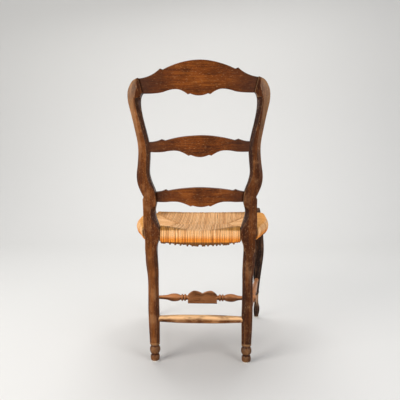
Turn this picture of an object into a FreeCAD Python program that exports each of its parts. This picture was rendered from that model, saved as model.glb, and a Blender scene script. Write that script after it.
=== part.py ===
import FreeCAD, Part
import os
import Sketcher

# A ladder-back dining chair with a woven rush seat. Millimetres, +Z up, origin on the floor under
# the middle of the chair. The chair faces -Y, and +X is the sitter's left.
# Each shaped piece of wood is worked the way it is sawn: one outline seen from the front and one
# seen from the side or from above. Every mortise is cut by the tenon that is glued into it.

PARTS_FOLDER = "parts"
document = FreeCAD.newDocument("DiningChair")
sheet = document.addObject("Spreadsheet::Sheet", "Sizes")

SIZES = {
    # whole chair
    "chair_height": 970,
    "seat_height": 447,
    "seat_width": 490,
    "leg_depth": 395,            # rear leg centres to front leg centres, at the seat
    "rear_gap": 332,             # rear leg centres apart, at the seat
    "rear_foot_gap": 304,
    "leg_setback": 30,           # front leg centres inside the widest line of the seat
    "front_overhang": 22,        # seat edge in front of the front leg centres
    "foot_rake": 25,             # how far the rear feet kick back
    "back_rake": 80,             # how far the back leans at the height of the crest
    "rake_power": 1.15,          # how the lean gathers with height
    # rear posts
    "foot_height": 62,           # turned foot below each shaped leg
    "post_half_depth": 18,
    "leg_half_depth": 15.5,
    "head_half_depth": 13.5,
    # crest rail and slats
    "slat_thickness": 16,
    "slat_bow": 15,
    "slat_tenon": 20,
    "tenon_shoulder": 5,
    "middle_place": 0.578,       # share of the back's height at which each slat's top stands
    "lower_place": 0.2645,
    # front legs
    "block_half": 22,
    "block_top_drop": 9,         # leg block below the top of the seat
    "knob_radius": 12,
    "knob_rise": 17,             # knob above the top of the seat
    # feet
    "glide_radius": 11,
    "glide_height": 4,
    "glide_rim": 1.2,
    "shank_radius": 1.6,
    "shank_length": 14,
    # seat
    "rush_thickness": 51,
    "rush_wrap": 6,
    "rush_edge_radius": 11,
    "rail_height": 34,
    "rail_thickness": 18,
    "rail_dip": 6,               # the rear rail hangs lower in its middle
    "rail_tenon": 16,
    "rail_tenon_height": 22,
    "rail_tenon_thickness": 10,
    "rear_rail_setback": 3,
    "seat_sag": 18,
    "sag_radius": 185,
    "mitre_apex": 89,            # where the side weaves end, either side of the middle
    "mitre_place": 0.5,
    "stuffing_thickness": 13,
    "stuffing_inset": 42,
    "corner_clearance": 1,       # woven corners stand clear of the posts and leg blocks
    # stretchers
    "rear_stretcher_height": 144.5,
    "rear_stretcher_radius": 14,
    "rear_stretcher_end": 10.5,
    "rear_shoulder_inset": 13,   # shoulders inside the rear feet's centres
    "side_stretcher_height": 163,
    "cross_place": 0.4,          # share of the side stretcher at which the cross stretcher enters
    "stretcher_tenon_radius": 7,
    "side_rear_offset": 1.5,     # stretcher axis outside the rear foot's centre, then the leg's
    "side_front_offset": 1,
    "side_rear_shoulder": 14,
    "side_front_shoulder": 10,
    "side_end_radius": 8.5,
    "side_vase_radius": 12.5,
    "side_ball_radius": 14.5,
    "ball_half_length": 17,
    "side_ring_radius": 11.5,
    "cross_end_radius": 6.5,
    "cross_tenon": 7,
    "cross_vase_radius": 13,
    "cross_ring_radius": 10.5,
    "cross_ring_length": 8,
    "cross_neck_radius": 8.5,
    "block_length": 106,
    "block_thickness": 24,
    "block_top_thickness": 9,
    "block_foot": 19,            # bottom of the block below the stretcher's axis
    "block_shoulder": 2,         # where its faces begin to slope, above the axis
    "block_end_rise": 11,
    "block_hump_rise": 26,
    "block_valley_rise": 16,
}

# Each slat: board depth at the middle, then how far across and how far down from its top middle
# the ear, the nick beside it and the end stand, then across and up from its bottom middle for the
# nick, the cusp, the arch and the shoulder.
SLAT_SIZES = {
    "crest": {
        "depth": 103.5, "ear_across": 117, "ear_drop": 24, "notch_across": 108, "notch_drop": 27,
        "end_across": 180, "end_drop": 52, "nick_across": 27, "nick_rise": 6.2,
        "cusp_across": 34, "cusp_rise": 3.4, "arch_across": 76, "arch_rise": 19,
        "shoulder_across": 168, "shoulder_rise": 6,
    },
    "middle": {
        "depth": 67.5, "ear_across": 120, "ear_drop": 12.5, "notch_across": 108, "notch_drop": 16.5,
        "end_across": 156, "end_drop": 22, "nick_across": 28, "nick_rise": 6.6,
        "cusp_across": 36, "cusp_rise": 4.2, "arch_across": 84, "arch_rise": 20,
        "shoulder_across": 156, "shoulder_rise": 13.8,
    },
    "lower": {
        "depth": 63.5, "ear_across": 112, "ear_drop": 8, "notch_across": 104, "notch_drop": 12,
        "end_across": 143, "end_drop": 17, "nick_across": 25, "nick_rise": 4.4,
        "cusp_across": 32, "cusp_rise": 1.8, "arch_across": 84, "arch_rise": 16.5,
        "shoulder_across": 143, "shoulder_rise": 13.5,
    },
}


def fill_sheet():
    """Write every driving size into the sheet, one alias to a cell."""
    rows = dict(SIZES)
    for slat, sizes in SLAT_SIZES.items():
        for word, size in sizes.items():
            rows[f"{slat}_{word}"] = size
    for row, (alias, size) in enumerate(rows.items(), start=1):
        sheet.set(f"A{row}", alias)
        sheet.set(f"B{row}", str(size))
        sheet.setAlias(f"B{row}", alias)
    document.recompute()


def value(expression):
    """The number that an expression gives with the sheet's present sizes."""
    return float(sheet.evalExpression(expression))


# Places that several pieces share, as expressions on the sheet.
BACK_HEIGHT = "(Sizes.chair_height - Sizes.seat_height)"
LEG_HEIGHT = "(Sizes.seat_height - Sizes.foot_height)"
CREST_REACH = "(Sizes.slat_bow + Sizes.slat_thickness / 2)"
REAR = f"((Sizes.leg_depth + Sizes.front_overhang - Sizes.back_rake - {CREST_REACH}) / 2)"
FRONT_LEG = f"({REAR} - Sizes.leg_depth)"
SEAT_FRONT = f"({FRONT_LEG} - Sizes.front_overhang)"
POST_LINE = "(Sizes.rear_gap / 2)"
FOOT_LINE = "(Sizes.rear_foot_gap / 2)"
LEG_LINE = "(Sizes.seat_width / 2 - Sizes.leg_setback)"
SEAT_SIDE = "(Sizes.seat_width / 2)"
SEAT_BOTTOM = "(Sizes.seat_height - Sizes.rush_thickness)"
RAIL_TOP = "(Sizes.seat_height - Sizes.rush_wrap - Sizes.corner_clearance)"
RAIL_MIDDLE = f"({RAIL_TOP} - Sizes.rail_height / 2)"
MITRE_LINE = f"({REAR} - Sizes.leg_depth * Sizes.mitre_place)"


def up_leg(share):
    """A height on the shaped leg: 0 is the top of the turned foot and 1 is the seat."""
    return f"(Sizes.foot_height + {LEG_HEIGHT} * {share})"


def up_back(share):
    """A height on the back: 0 is the seat and 1 is the top of the crest rail."""
    return f"(Sizes.seat_height + {BACK_HEIGHT} * {share})"


def down_seat(share):
    """A depth on the seat: 0 is the rear legs' centre plane and 1 is the front legs'."""
    return f"({REAR} - Sizes.leg_depth * {share})"


def leg_centre(height):
    """How far back the rear leg's centre stands at a height below the seat."""
    return f"({REAR} + Sizes.foot_rake * (1 - {height} / Sizes.seat_height))"


def back_centre(share):
    """How far back the post's centre stands at a share of the back's height."""
    return f"({REAR} + Sizes.back_rake * ({share}) ^ Sizes.rake_power)"


def spline(poles):
    """A smooth curve drawn from its control points, tangent to the legs between them."""
    degree = 2
    spans = len(poles) - degree
    knots = [float(knot) for knot in range(spans + 1)]
    multiplicities = [degree + 1] + [1] * (spans - 1) + [degree + 1]
    return Part.BSplineCurve(poles, multiplicities, knots, False, degree)


def pin_point(sketch, geometry, point, place):
    """Hold one point of a sketch at a place given by two expressions."""
    for kind, expression in zip(("DistanceX", "DistanceY"), place):
        size = value(expression)
        if size < 0:
            constraint = Sketcher.Constraint(kind, geometry, point, -1, 1, -size)
            expression = f"-({expression})"
        else:
            constraint = Sketcher.Constraint(kind, -1, 1, geometry, point, size)
        index = sketch.addConstraint(constraint)
        sketch.setExpression(f"Constraints[{index}]", expression)


def draw_stretch(sketch, places):
    """Draw one stretch of an outline: two places make a line, more are a curve's poles."""
    points = [FreeCAD.Vector(value(across), value(up), 0) for across, up in places]
    if len(points) == 2:
        line = sketch.addGeometry(Part.LineSegment(*points))
        pin_point(sketch, line, 1, places[0])
        return line
    curve = sketch.addGeometry(spline(points))
    sketch.exposeInternalGeometry(curve)
    handles = [
        index for index in range(curve + 1, sketch.GeometryCount)
        if isinstance(sketch.Geometry[index], Part.Circle)
    ]
    for handle, place in list(zip(handles, places))[:-1]:
        pin_point(sketch, handle, 3, place)
    return curve


def draw_outline(body, plane, stretches):
    """A closed sketch on one of the body's own planes, made of stretches end to end."""
    sketch = body.newObject("Sketcher::SketchObject", f"{body.Name}_{plane}")
    support = [item for item in body.Origin.OriginFeatures if item.Role == plane][0]
    sketch.AttachmentSupport = (support, [""])
    sketch.MapMode = "FlatFace"
    drawn = [draw_stretch(sketch, places) for places in stretches]
    for this, following in zip(drawn, drawn[1:] + drawn[:1]):
        sketch.addConstraint(Sketcher.Constraint("Coincident", this, 2, following, 1))
    return sketch


def polygon(places):
    """The straight stretches of a closed outline with a corner at each place."""
    return [[this, following] for this, following in zip(places, places[1:] + places[:1])]


def add_pad(body, sketch, length, symmetric=True):
    """Pad a sketch by a length, half to each side unless told otherwise."""
    pad = body.newObject("PartDesign::Pad", f"{sketch.Name}_pad")
    pad.Profile = sketch
    if symmetric:
        pad.SideType = "Symmetric"
    pad.setExpression("Length", length)
    sketch.Visibility = False
    return pad


def outline_pad(name, plane, stretches, length, symmetric=True):
    """A body that is one outline padded by a length."""
    body = document.addObject("PartDesign::Body", name)
    add_pad(body, draw_outline(body, plane, stretches), length, symmetric)
    return body


def add_turning(body, stretches, plane="XY_Plane", axis="H_Axis"):
    """Turn an outline about its sketch's axis."""
    sketch = draw_outline(body, plane, stretches)
    turning = body.newObject("PartDesign::Revolution", f"{body.Name}_turning")
    turning.Profile = sketch
    turning.ReferenceAxis = (sketch, [axis])
    turning.Angle = 360
    sketch.Visibility = False
    return turning


def place_at(thing, across, back, up, axis=(0, 0, 1), angle="0"):
    """Bind a piece's placement to expressions for its position and one rotation."""
    spin = f"rotation(vector({axis[0]}; {axis[1]}; {axis[2]}); {angle})"
    thing.setExpression("Placement", f"placement(vector({across}; {back}; {up}); {spin})")


def join(kind, name, pieces):
    """A boolean of several pieces: Part::MultiFuse or Part::MultiCommon."""
    result = document.addObject(kind, name)
    result.Shapes = pieces
    return result


def cut(name, base, tool):
    """One piece with another taken out of it."""
    result = document.addObject("Part::Cut", name)
    result.Base = base
    result.Tool = tool
    return result


def mirrored(name, source):
    """The same piece on the other side of the chair's middle."""
    result = document.addObject("Part::Mirroring", name)
    result.Source = source
    result.Normal = FreeCAD.Vector(1, 0, 0)
    return result


def bound_box(name, length, width, height, across, back, up):
    """A box with its sizes and its low corner bound to expressions."""
    box = document.addObject("Part::Box", name)
    box.setExpression("Length", length)
    box.setExpression("Width", width)
    box.setExpression("Height", height)
    place_at(box, across, back, up)
    return box


# ---------------------------------------------------------------- crest rail and slats

def slat_half(slat):
    """Half of a slat's outline, from its top middle round the end to its bottom middle."""
    def size(word):
        return f"Sizes.{slat}_{word}"

    def below(drop):
        return f"-({drop})"

    def above(rise):
        return f"({rise} - {size('depth')})"

    tenon_end = f"({size('end_across')} + Sizes.slat_tenon)"
    tenon_top = below(f"{size('end_drop')} + Sizes.tenon_shoulder")
    tenon_bottom = above(f"{size('shoulder_rise')} + Sizes.tenon_shoulder")
    ear = (size("ear_across"), below(size("ear_drop")))
    notch = (size("notch_across"), below(size("notch_drop")))
    end = (size("end_across"), below(size("end_drop")))
    shoulder = (size("shoulder_across"), above(size("shoulder_rise")))
    cusp = (size("cusp_across"), above(size("cusp_rise")))
    nick = (size("nick_across"), above(size("nick_rise")))
    crown_handle = (f"{size('notch_across')} / 2", "0")
    ear_handle = (
        f"({size('ear_across')} * 0.6 + {size('end_across')} * 0.4)",
        below(f"{size('ear_drop')} * 0.18 + {size('end_drop')} * 0.82"),
    )
    shoulder_handle = (
        f"({size('shoulder_across')} + {size('arch_across')}) / 2",
        above(size("shoulder_rise")),
    )
    arch_outer = (f"{size('arch_across')} * 1.13", above(size("arch_rise")))
    arch_inner = (f"{size('arch_across')} * 0.7", above(size("arch_rise")))
    lobe_handle = (f"{size('nick_across')} / 2", above("0"))
    tenon_root_top = (size("shoulder_across"), tenon_top)
    tenon_root_bottom = (size("shoulder_across"), tenon_bottom)
    return [
        [("0", "0"), crown_handle, notch],
        [notch, ear],
        [ear, ear_handle, end],
        [end, tenon_root_top],
        [tenon_root_top, (tenon_end, tenon_top)],
        [(tenon_end, tenon_top), (tenon_end, tenon_bottom)],
        [(tenon_end, tenon_bottom), tenon_root_bottom],
        [tenon_root_bottom, shoulder],
        [shoulder, shoulder_handle, arch_outer, arch_inner, cusp],
        [cusp, nick],
        [nick, lobe_handle, ("0", above("0"))],
    ]


def mirror_stretches(stretches):
    """The other half of a symmetric outline, drawn back to where the first half began."""
    return [
        [(f"-({across})", up) for across, up in reversed(places)]
        for places in reversed(stretches)
    ]


def bowed_board(half_length, thickness):
    """The plan of a board that bows backwards in its middle."""
    half = f"{thickness} / 2"
    middle = f"Sizes.slat_bow * ({half_length}) * ({half_length}) / ({half_length} - Sizes.slat_tenon)^2"
    return [
        [(f"-({half_length})", f"-{half} - {middle} + Sizes.slat_bow"),
         ("0", f"-{half} + {middle} + Sizes.slat_bow"),
         (half_length, f"-{half} - {middle} + Sizes.slat_bow")],
        [(half_length, f"-{half} - {middle} + Sizes.slat_bow"),
         (half_length, f"{half} - {middle} + Sizes.slat_bow")],
        [(half_length, f"{half} - {middle} + Sizes.slat_bow"),
         ("0", f"{half} + {middle} + Sizes.slat_bow"),
         (f"-({half_length})", f"{half} - {middle} + Sizes.slat_bow")],
        [(f"-({half_length})", f"{half} - {middle} + Sizes.slat_bow"),
         (f"-({half_length})", f"-{half} - {middle} + Sizes.slat_bow")],
    ]


def make_slat(label, slat, share):
    """A shaped slat or crest rail: its front outline sawn out of a bowed board."""
    half = slat_half(slat)
    outline = outline_pad(
        f"{slat}_outline", "XZ_Plane", half + mirror_stretches(half),
        "(Sizes.slat_bow + Sizes.slat_thickness) * 4")
    board = outline_pad(
        f"{slat}_board", "XY_Plane",
        bowed_board(f"(Sizes.{slat}_end_across + Sizes.slat_tenon)", "Sizes.slat_thickness"),
        f"Sizes.{slat}_depth * 2 + Sizes.slat_thickness")
    slope = f"Sizes.back_rake * Sizes.rake_power * {share}^(Sizes.rake_power - 1) / {BACK_HEIGHT}"
    top = f"({up_back(share)} + (Sizes.slat_bow - Sizes.slat_thickness / 2) * {slope})"
    for piece in (outline, board):
        place_at(piece, "0", back_centre(share), top, (1, 0, 0), f"-atan({slope})")
    return join("Part::MultiCommon", label, [outline, board])


# ---------------------------------------------------------------- rear posts

def post_front_outline():
    """The left post seen from behind: the outer edge upwards, then the inner edge downwards."""
    def by_foot(across, up):
        return (f"{FOOT_LINE} + {across}", up_leg(up))

    def by_leg(across, up):
        return (f"{POST_LINE} + {across}", up_leg(up))

    def by_back(across, up):
        return (f"{POST_LINE} + {across}", up_back(up))

    waist = by_back(14.5, 0.203)
    shoulder = by_back(18, 0.187)
    head_end = by_back(14.5, 0.902)
    crest_foot = by_back(4, 0.82)
    outer_leg = [
        by_foot(16.5, 0), by_foot(18.5, 0.125), by_foot(21, 0.36), by_foot(19.3, 0.553),
        by_leg(13.5, 0.709), by_leg(14.5, 0.826), by_leg(13.5, 0.904), by_back(19.5, 0.01),
        by_back(17.5, 0.1), shoulder,
    ]
    outer_back = [
        waist, by_back(30, 0.26), by_back(35, 0.331), by_back(28.5, 0.417), by_back(23.5, 0.512),
        by_back(34.5, 0.627), by_back(45.5, 0.723), by_back(51.5, 0.78), by_back(51.5, 0.824),
        by_back(47, 0.853), by_back(36, 0.889), by_back(20, 0.906), head_end,
    ]
    inner_back = [
        crest_foot, by_back(11.5, 0.805), by_back(13, 0.748), by_back(7.5, 0.675),
        by_back(-4.5, 0.579), by_back(-12.5, 0.493), by_back(-9, 0.417), by_back(-4.5, 0.354),
        by_back(-10, 0.302), by_back(-25, 0.235), by_back(-27, 0.178), by_back(-25, 0.153),
        by_back(-18.5, 0.115), by_back(-21.5, 0.073), by_back(-32, 0.015), by_leg(-38, 0.961),
        by_leg(-32, 0.909), by_leg(-23.5, 0.847), by_leg(-24.5, 0.774), by_foot(-14.5, 0.618),
        by_foot(-13, 0.519), by_foot(-15, 0.306), by_foot(-16.8, 0.1), by_foot(-15.8, 0),
    ]
    return [
        outer_leg,
        [shoulder, waist],
        outer_back,
        [head_end, crest_foot],
        inner_back,
        [inner_back[-1], outer_leg[0]],
    ]


def post_side_outline():
    """The left post seen from the side: raked foot, upright seat block, back that leans."""
    leg, post, head = "Sizes.leg_half_depth", "Sizes.post_half_depth", "Sizes.head_half_depth"
    stations = [
        (up_leg(share), leg_centre(up_leg(share)), half)
        for share, half in ((0, leg), (0.35, f"{leg} * 1.1"), (0.7, f"{leg} * 1.1"), (0.92, post))
    ]
    stations += [
        (up_back(share), back_centre(share), half)
        for share, half in ((0.05, post), (0.3, f"{post} * 0.95"), (0.6, f"{head} * 1.1"), (0.94, head))
    ]
    rear = [(f"{centre} + {half}", up) for up, centre, half in stations]
    front = [(f"{centre} - {half}", up) for up, centre, half in reversed(stations)]
    return [rear, [rear[-1], front[0]], front, [front[-1], rear[0]]]


def rear_foot():
    """The turned foot of a rear leg: pad, waist, bulb, groove and ring, standing on its glide."""
    def place(radius, share):
        return (str(radius), f"Sizes.glide_height + (Sizes.foot_height - Sizes.glide_height) * {share}")

    foot = document.addObject("PartDesign::Body", "rear_foot_turning")
    top = ("0", "Sizes.foot_height + 2")
    add_turning(foot, [
        [("0", place(0, 0)[1]), place(13.4, 0)],
        [place(13.4, 0), place(15.2, 0.02), place(15.2, 0.3), place(12.2, 0.38)],
        [place(12.2, 0.38), place(17.4, 0.48), place(17.4, 0.78), place(12.6, 0.88)],
        [place(12.6, 0.88), place(15.5, 0.92)],
        [place(15.5, 0.92), ("15.5", top[1])],
        [("15.5", top[1]), top],
        [top, ("0", place(0, 0)[1])],
    ], "XZ_Plane", "V_Axis")
    place_at(foot, FOOT_LINE, leg_centre("Sizes.foot_height"), "0")
    return foot


def make_posts(tenons):
    """Both rear posts, each mortised for the slats, rails and stretchers that enter it."""
    front = outline_pad("post_front", "XZ_Plane", post_front_outline(), "Sizes.leg_depth * 2")
    side = outline_pad("post_side", "YZ_Plane", post_side_outline(), "Sizes.seat_width * 2")
    sawn = join("Part::MultiCommon", "post_sawn", [front, side])
    blank = join("Part::MultiFuse", "post_blank", [sawn, rear_foot()])
    left = cut("left_rear_post", blank, join("Part::MultiFuse", "post_tenons", tenons))
    return left, mirrored("right_rear_post", left)


# ---------------------------------------------------------------- front legs

def cabriole_outline(line, sign, profile):
    """A cabriole leg seen square on: the outer edge upwards and the inner edge downwards."""
    outer_shares = ((8, 0), (13, 0.04), (14, 0.09), (7, 0.14), (9.5, 0.25), (19, 0.43), (31, 0.62))
    reach = profile["reach"]
    outer = [
        (f"{line} + {sign} * ({8 + (across - 8) * reach})", cabriole_up(share))
        for across, share in outer_shares
    ]
    outer.append((f"{line} + {sign} * ({profile['cheek']})", cabriole_up(0.77)))
    outer.append((f"{line} + {sign} * Sizes.block_half", cabriole_up(0.9)))
    inner = [
        (f"{line} - {sign} * Sizes.block_half", cabriole_up(0.9)),
        (f"{line} - {sign} * ({profile['hollow']})", cabriole_up(0.77)),
        (f"{line} - {sign} * 10", cabriole_up(0.62)),
        (f"{line} - {sign} * 15", cabriole_up(0.4)),
        (f"{line} - {sign} * 8", cabriole_up(0.2)),
        (f"{line} - {sign} * 8", cabriole_up(0.13)),
        (f"{line} - {sign} * 13", cabriole_up(0.06)),
        (f"{line} - {sign} * 9", cabriole_up(0)),
    ]
    top = "Sizes.seat_height - Sizes.block_top_drop"
    return [
        outer,
        [outer[-1], (f"{line} + {sign} * Sizes.block_half", top)],
        [(f"{line} + {sign} * Sizes.block_half", top), (f"{line} - {sign} * Sizes.block_half", top)],
        [(f"{line} - {sign} * Sizes.block_half", top), inner[0]],
        inner,
        [inner[-1], outer[0]],
    ]


def cabriole_up(share):
    """A height on the front leg: 0 is the top of its glide and 1 is the top of the seat."""
    return f"(Sizes.glide_height + (Sizes.seat_height - Sizes.glide_height) * {share})"


def leg_knob():
    """The rounded top of a front leg, which stands up through the corner of the seat."""
    knob = document.addObject("PartDesign::Body", "leg_knob")
    bottom = "Sizes.seat_height - Sizes.block_top_drop - 2"
    top = "Sizes.seat_height + Sizes.knob_rise"
    neck = "Sizes.seat_height - 1"
    radius = "Sizes.knob_radius"
    add_turning(knob, [
        [("0", bottom), (f"{radius} * 1.3", bottom)],
        [(f"{radius} * 1.3", bottom), (f"{radius} * 1.15", neck)],
        [(f"{radius} * 1.15", neck), (radius, f"{top} - 5"), (f"{radius} * 0.8", top), ("0", top)],
        [("0", top), ("0", bottom)],
    ], "XZ_Plane", "V_Axis")
    place_at(knob, LEG_LINE, FRONT_LEG, "0")
    return knob


def make_front_legs(tenons):
    """Both cabriole front legs, mortised for the seat rails and the side stretchers."""
    front = outline_pad(
        "cabriole_front", "XZ_Plane",
        cabriole_outline(LEG_LINE, 1, {"reach": 1, "cheek": 26, "hollow": 17}),
        "Sizes.leg_depth * 3")
    side = outline_pad(
        "cabriole_side", "YZ_Plane",
        cabriole_outline(FRONT_LEG, -1, {"reach": 0.7, "cheek": 22, "hollow": 15}),
        "Sizes.seat_width * 2")
    sawn = join("Part::MultiCommon", "cabriole_sawn", [front, side])
    blank = join("Part::MultiFuse", "cabriole_blank", [sawn, leg_knob()])
    left = cut("left_front_leg", blank, join("Part::MultiFuse", "leg_tenons", tenons))
    return left, mirrored("right_front_leg", left)


# ---------------------------------------------------------------- seat rails

def seat_edge(inset):
    """The curved side of the seat in plan, from the rear post to the front leg."""
    return [
        (f"{POST_LINE} + 20 - {inset}", down_seat(0.0)),
        (f"{POST_LINE} + 40 - {inset}", down_seat(0.2)),
        (f"{SEAT_SIDE} - 1 - {inset}", down_seat(0.45)),
        (f"{SEAT_SIDE} + 1 - {inset}", down_seat(0.75)),
        (f"{SEAT_SIDE} - 6 - {inset}", down_seat(1.0)),
    ]


def between_legs(places, rear_end, front_end):
    """The middle of a curved side, closed off square at its two ends."""
    first, last = places[0], places[-1]
    return [(first[0], rear_end)] + places[1:-1] + [(last[0], front_end)]


def side_rail_plan(inset, thickness, rear_end, front_end):
    """A side rail in plan: an outer curve, an inner curve and two square ends."""
    outer = between_legs(seat_edge(inset), rear_end, front_end)
    inner = between_legs(seat_edge(f"({inset} + {thickness})"), rear_end, front_end)[::-1]
    return [outer, [outer[-1], inner[0]], inner, [inner[-1], outer[0]]]


def make_side_rails():
    """Both side rails: a bowed bar with a thinner tongue that makes the tenons at its ends."""
    tongue_inset = "(Sizes.rush_wrap + (Sizes.rail_thickness - Sizes.rail_tenon_thickness) / 2)"
    shoulder_rear = f"({REAR} - Sizes.post_half_depth)"
    shoulder_front = f"({FRONT_LEG} + Sizes.block_half)"
    bar = outline_pad(
        "side_rail_bar", "XY_Plane",
        side_rail_plan("Sizes.rush_wrap", "Sizes.rail_thickness", shoulder_rear, shoulder_front),
        "Sizes.rail_height")
    tongue = outline_pad(
        "side_rail_tongue", "XY_Plane",
        side_rail_plan(
            tongue_inset, "Sizes.rail_tenon_thickness",
            f"{shoulder_rear} + Sizes.rail_tenon", f"{shoulder_front} - Sizes.rail_tenon"),
        "Sizes.rail_tenon_height")
    for piece in (bar, tongue):
        place_at(piece, "0", "0", RAIL_MIDDLE)
    left = join("Part::MultiFuse", "left_seat_rail", [bar, tongue])
    return left, mirrored("right_seat_rail", left)


def make_front_rail():
    """The straight front rail, tenoned into both front legs."""
    half = f"({LEG_LINE} - Sizes.block_half)"
    middle = f"({SEAT_FRONT} + Sizes.rush_wrap + Sizes.rail_thickness / 2)"
    bar = bound_box(
        "front_rail_bar", f"2 * {half}", "Sizes.rail_thickness", "Sizes.rail_height",
        f"-{half}", f"{middle} - Sizes.rail_thickness / 2", f"{RAIL_MIDDLE} - Sizes.rail_height / 2")
    tongue = bound_box(
        "front_rail_tongue", f"2 * ({half} + Sizes.rail_tenon)", "Sizes.rail_tenon_thickness",
        "Sizes.rail_tenon_height", f"-({half} + Sizes.rail_tenon)",
        f"{middle} - Sizes.rail_tenon_thickness / 2", f"{RAIL_MIDDLE} - Sizes.rail_tenon_height / 2")
    return join("Part::MultiFuse", "front_seat_rail", [bar, tongue])


def hanging_bar(half_length, height):
    """A bar seen from behind whose top and bottom both hang lower in the middle."""
    ends = [f"{RAIL_MIDDLE} + {sign} * {height} / 2" for sign in (1, -1)]
    middles = [f"{end} - 2 * Sizes.rail_dip" for end in ends]
    left, right = f"-({half_length})", half_length
    return [
        [(left, ends[0]), ("0", middles[0]), (right, ends[0])],
        [(right, ends[0]), (right, ends[1])],
        [(right, ends[1]), ("0", middles[1]), (left, ends[1])],
        [(left, ends[1]), (left, ends[0])],
    ]


def make_rear_rail():
    """The rear rail, which hangs a little in its middle, tenoned into both posts."""
    half = f"({POST_LINE} - Sizes.post_half_depth - 14)"
    bar = outline_pad(
        "rear_rail_bar", "XZ_Plane", hanging_bar(half, "Sizes.rail_height"), "Sizes.rail_thickness")
    tongue = outline_pad(
        "rear_rail_tongue", "XZ_Plane",
        hanging_bar(f"({half} + Sizes.rail_tenon)", "Sizes.rail_tenon_height"),
        "Sizes.rail_tenon_thickness")
    for piece in (bar, tongue):
        place_at(piece, "0", f"{REAR} + Sizes.rear_rail_setback", "0")
    return join("Part::MultiFuse", "rear_seat_rail", [bar, tongue])


# ---------------------------------------------------------------- stretchers

def make_rear_stretcher():
    """The plain rear stretcher: a rod that swells towards its middle."""
    end, thick = "Sizes.rear_stretcher_end", "Sizes.rear_stretcher_radius"
    tenon = "Sizes.stretcher_tenon_radius"
    shoulder = f"({FOOT_LINE} - Sizes.rear_shoulder_inset)"
    tip = FOOT_LINE
    rod = document.addObject("PartDesign::Body", "rear_stretcher")
    add_turning(rod, [
        [(f"-{tip}", "0"), (f"-{tip}", tenon)],
        [(f"-{tip}", tenon), (f"-{shoulder}", tenon)],
        [(f"-{shoulder}", tenon), (f"-{shoulder}", end)],
        [(f"-{shoulder}", end), (f"-{shoulder} / 2", thick), (f"{shoulder} / 2", thick), (shoulder, end)],
        [(shoulder, end), (shoulder, tenon)],
        [(shoulder, tenon), (tip, tenon)],
        [(tip, tenon), (tip, "0")],
        [(tip, "0"), (f"-{tip}", "0")],
    ])
    height = "Sizes.rear_stretcher_height"
    place_at(rod, "0", leg_centre(height), height)
    return rod


SIDE_HEIGHT = "Sizes.side_stretcher_height"
SIDE_REAR_X = f"({FOOT_LINE} + Sizes.side_rear_offset)"
SIDE_RUN_X = f"({LEG_LINE} + Sizes.side_front_offset - {SIDE_REAR_X})"
SIDE_RUN_Y = f"({FRONT_LEG} - {leg_centre(SIDE_HEIGHT)})"
SIDE_LENGTH = f"hypot({SIDE_RUN_X}; {SIDE_RUN_Y})"


def turned_outline(stations, start, end):
    """The outline of a turning from a list of curves, closed along its axis."""
    first, last = stations[0][0], stations[-1][-1]
    return (
        [[(start, "0"), (start, first[1])], [(start, first[1]), first]]
        + stations
        + [[last, (end, last[1])], [(end, last[1]), (end, "0")], [(end, "0"), (start, "0")]]
    )


def make_side_stretchers():
    """Both side stretchers: a ball that takes the cross stretcher, between two vases."""
    ball_at = f"{SIDE_LENGTH} * Sizes.cross_place"
    near = f"({ball_at} - Sizes.ball_half_length)"
    far = f"({ball_at} + Sizes.ball_half_length)"
    tenon, end = "Sizes.stretcher_tenon_radius", "Sizes.side_end_radius"
    vase, ring, ball = "Sizes.side_vase_radius", "Sizes.side_ring_radius", "Sizes.side_ball_radius"
    rear_start = "Sizes.side_rear_shoulder"
    front_end = f"({SIDE_LENGTH} - Sizes.side_front_shoulder)"

    def along(start, finish, share):
        return f"({start} + ({finish} - {start}) * {share})"

    curves = [
        [(rear_start, tenon), (rear_start, end)],
        [(rear_start, end), (along(rear_start, near, 0.3), end),
         (along(rear_start, near, 0.55), vase), (along(rear_start, near, 0.8), f"{vase} * 1.1"),
         (along(rear_start, near, 0.9), end)],
        [(along(rear_start, near, 0.9), end), (along(rear_start, near, 0.9), ring)],
        [(along(rear_start, near, 0.9), ring), (along(rear_start, near, 0.95), f"{ring} * 1.1"),
         (near, ring)],
        [(near, ring), (near, end)],
        [(near, end), (along(near, far, 0.1), f"{ball} * 1.25"), (along(near, far, 0.9), f"{ball} * 1.25"),
         (far, end)],
        [(far, end), (far, ring)],
        [(far, ring), (along(far, front_end, 0.03), f"{ring} * 1.1"),
         (along(far, front_end, 0.06), ring)],
        [(along(far, front_end, 0.06), ring), (along(far, front_end, 0.06), end)],
        [(along(far, front_end, 0.06), end), (along(far, front_end, 0.15), f"{vase} * 1.1"),
         (along(far, front_end, 0.4), vase), (along(far, front_end, 0.7), end), (front_end, end)],
        [(front_end, end), (front_end, tenon)],
    ]
    left = document.addObject("PartDesign::Body", "left_side_stretcher_blank")
    add_turning(left, turned_outline(curves, "0", SIDE_LENGTH))
    place_at(
        left, SIDE_REAR_X, leg_centre(SIDE_HEIGHT), SIDE_HEIGHT, (0, 0, 1),
        f"atan2({SIDE_RUN_Y}; {SIDE_RUN_X})")
    return left


CROSS_HALF = f"({SIDE_REAR_X} + {SIDE_RUN_X} * Sizes.cross_place)"
CROSS_Y = f"({leg_centre(SIDE_HEIGHT)} + {SIDE_RUN_Y} * Sizes.cross_place)"


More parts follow.
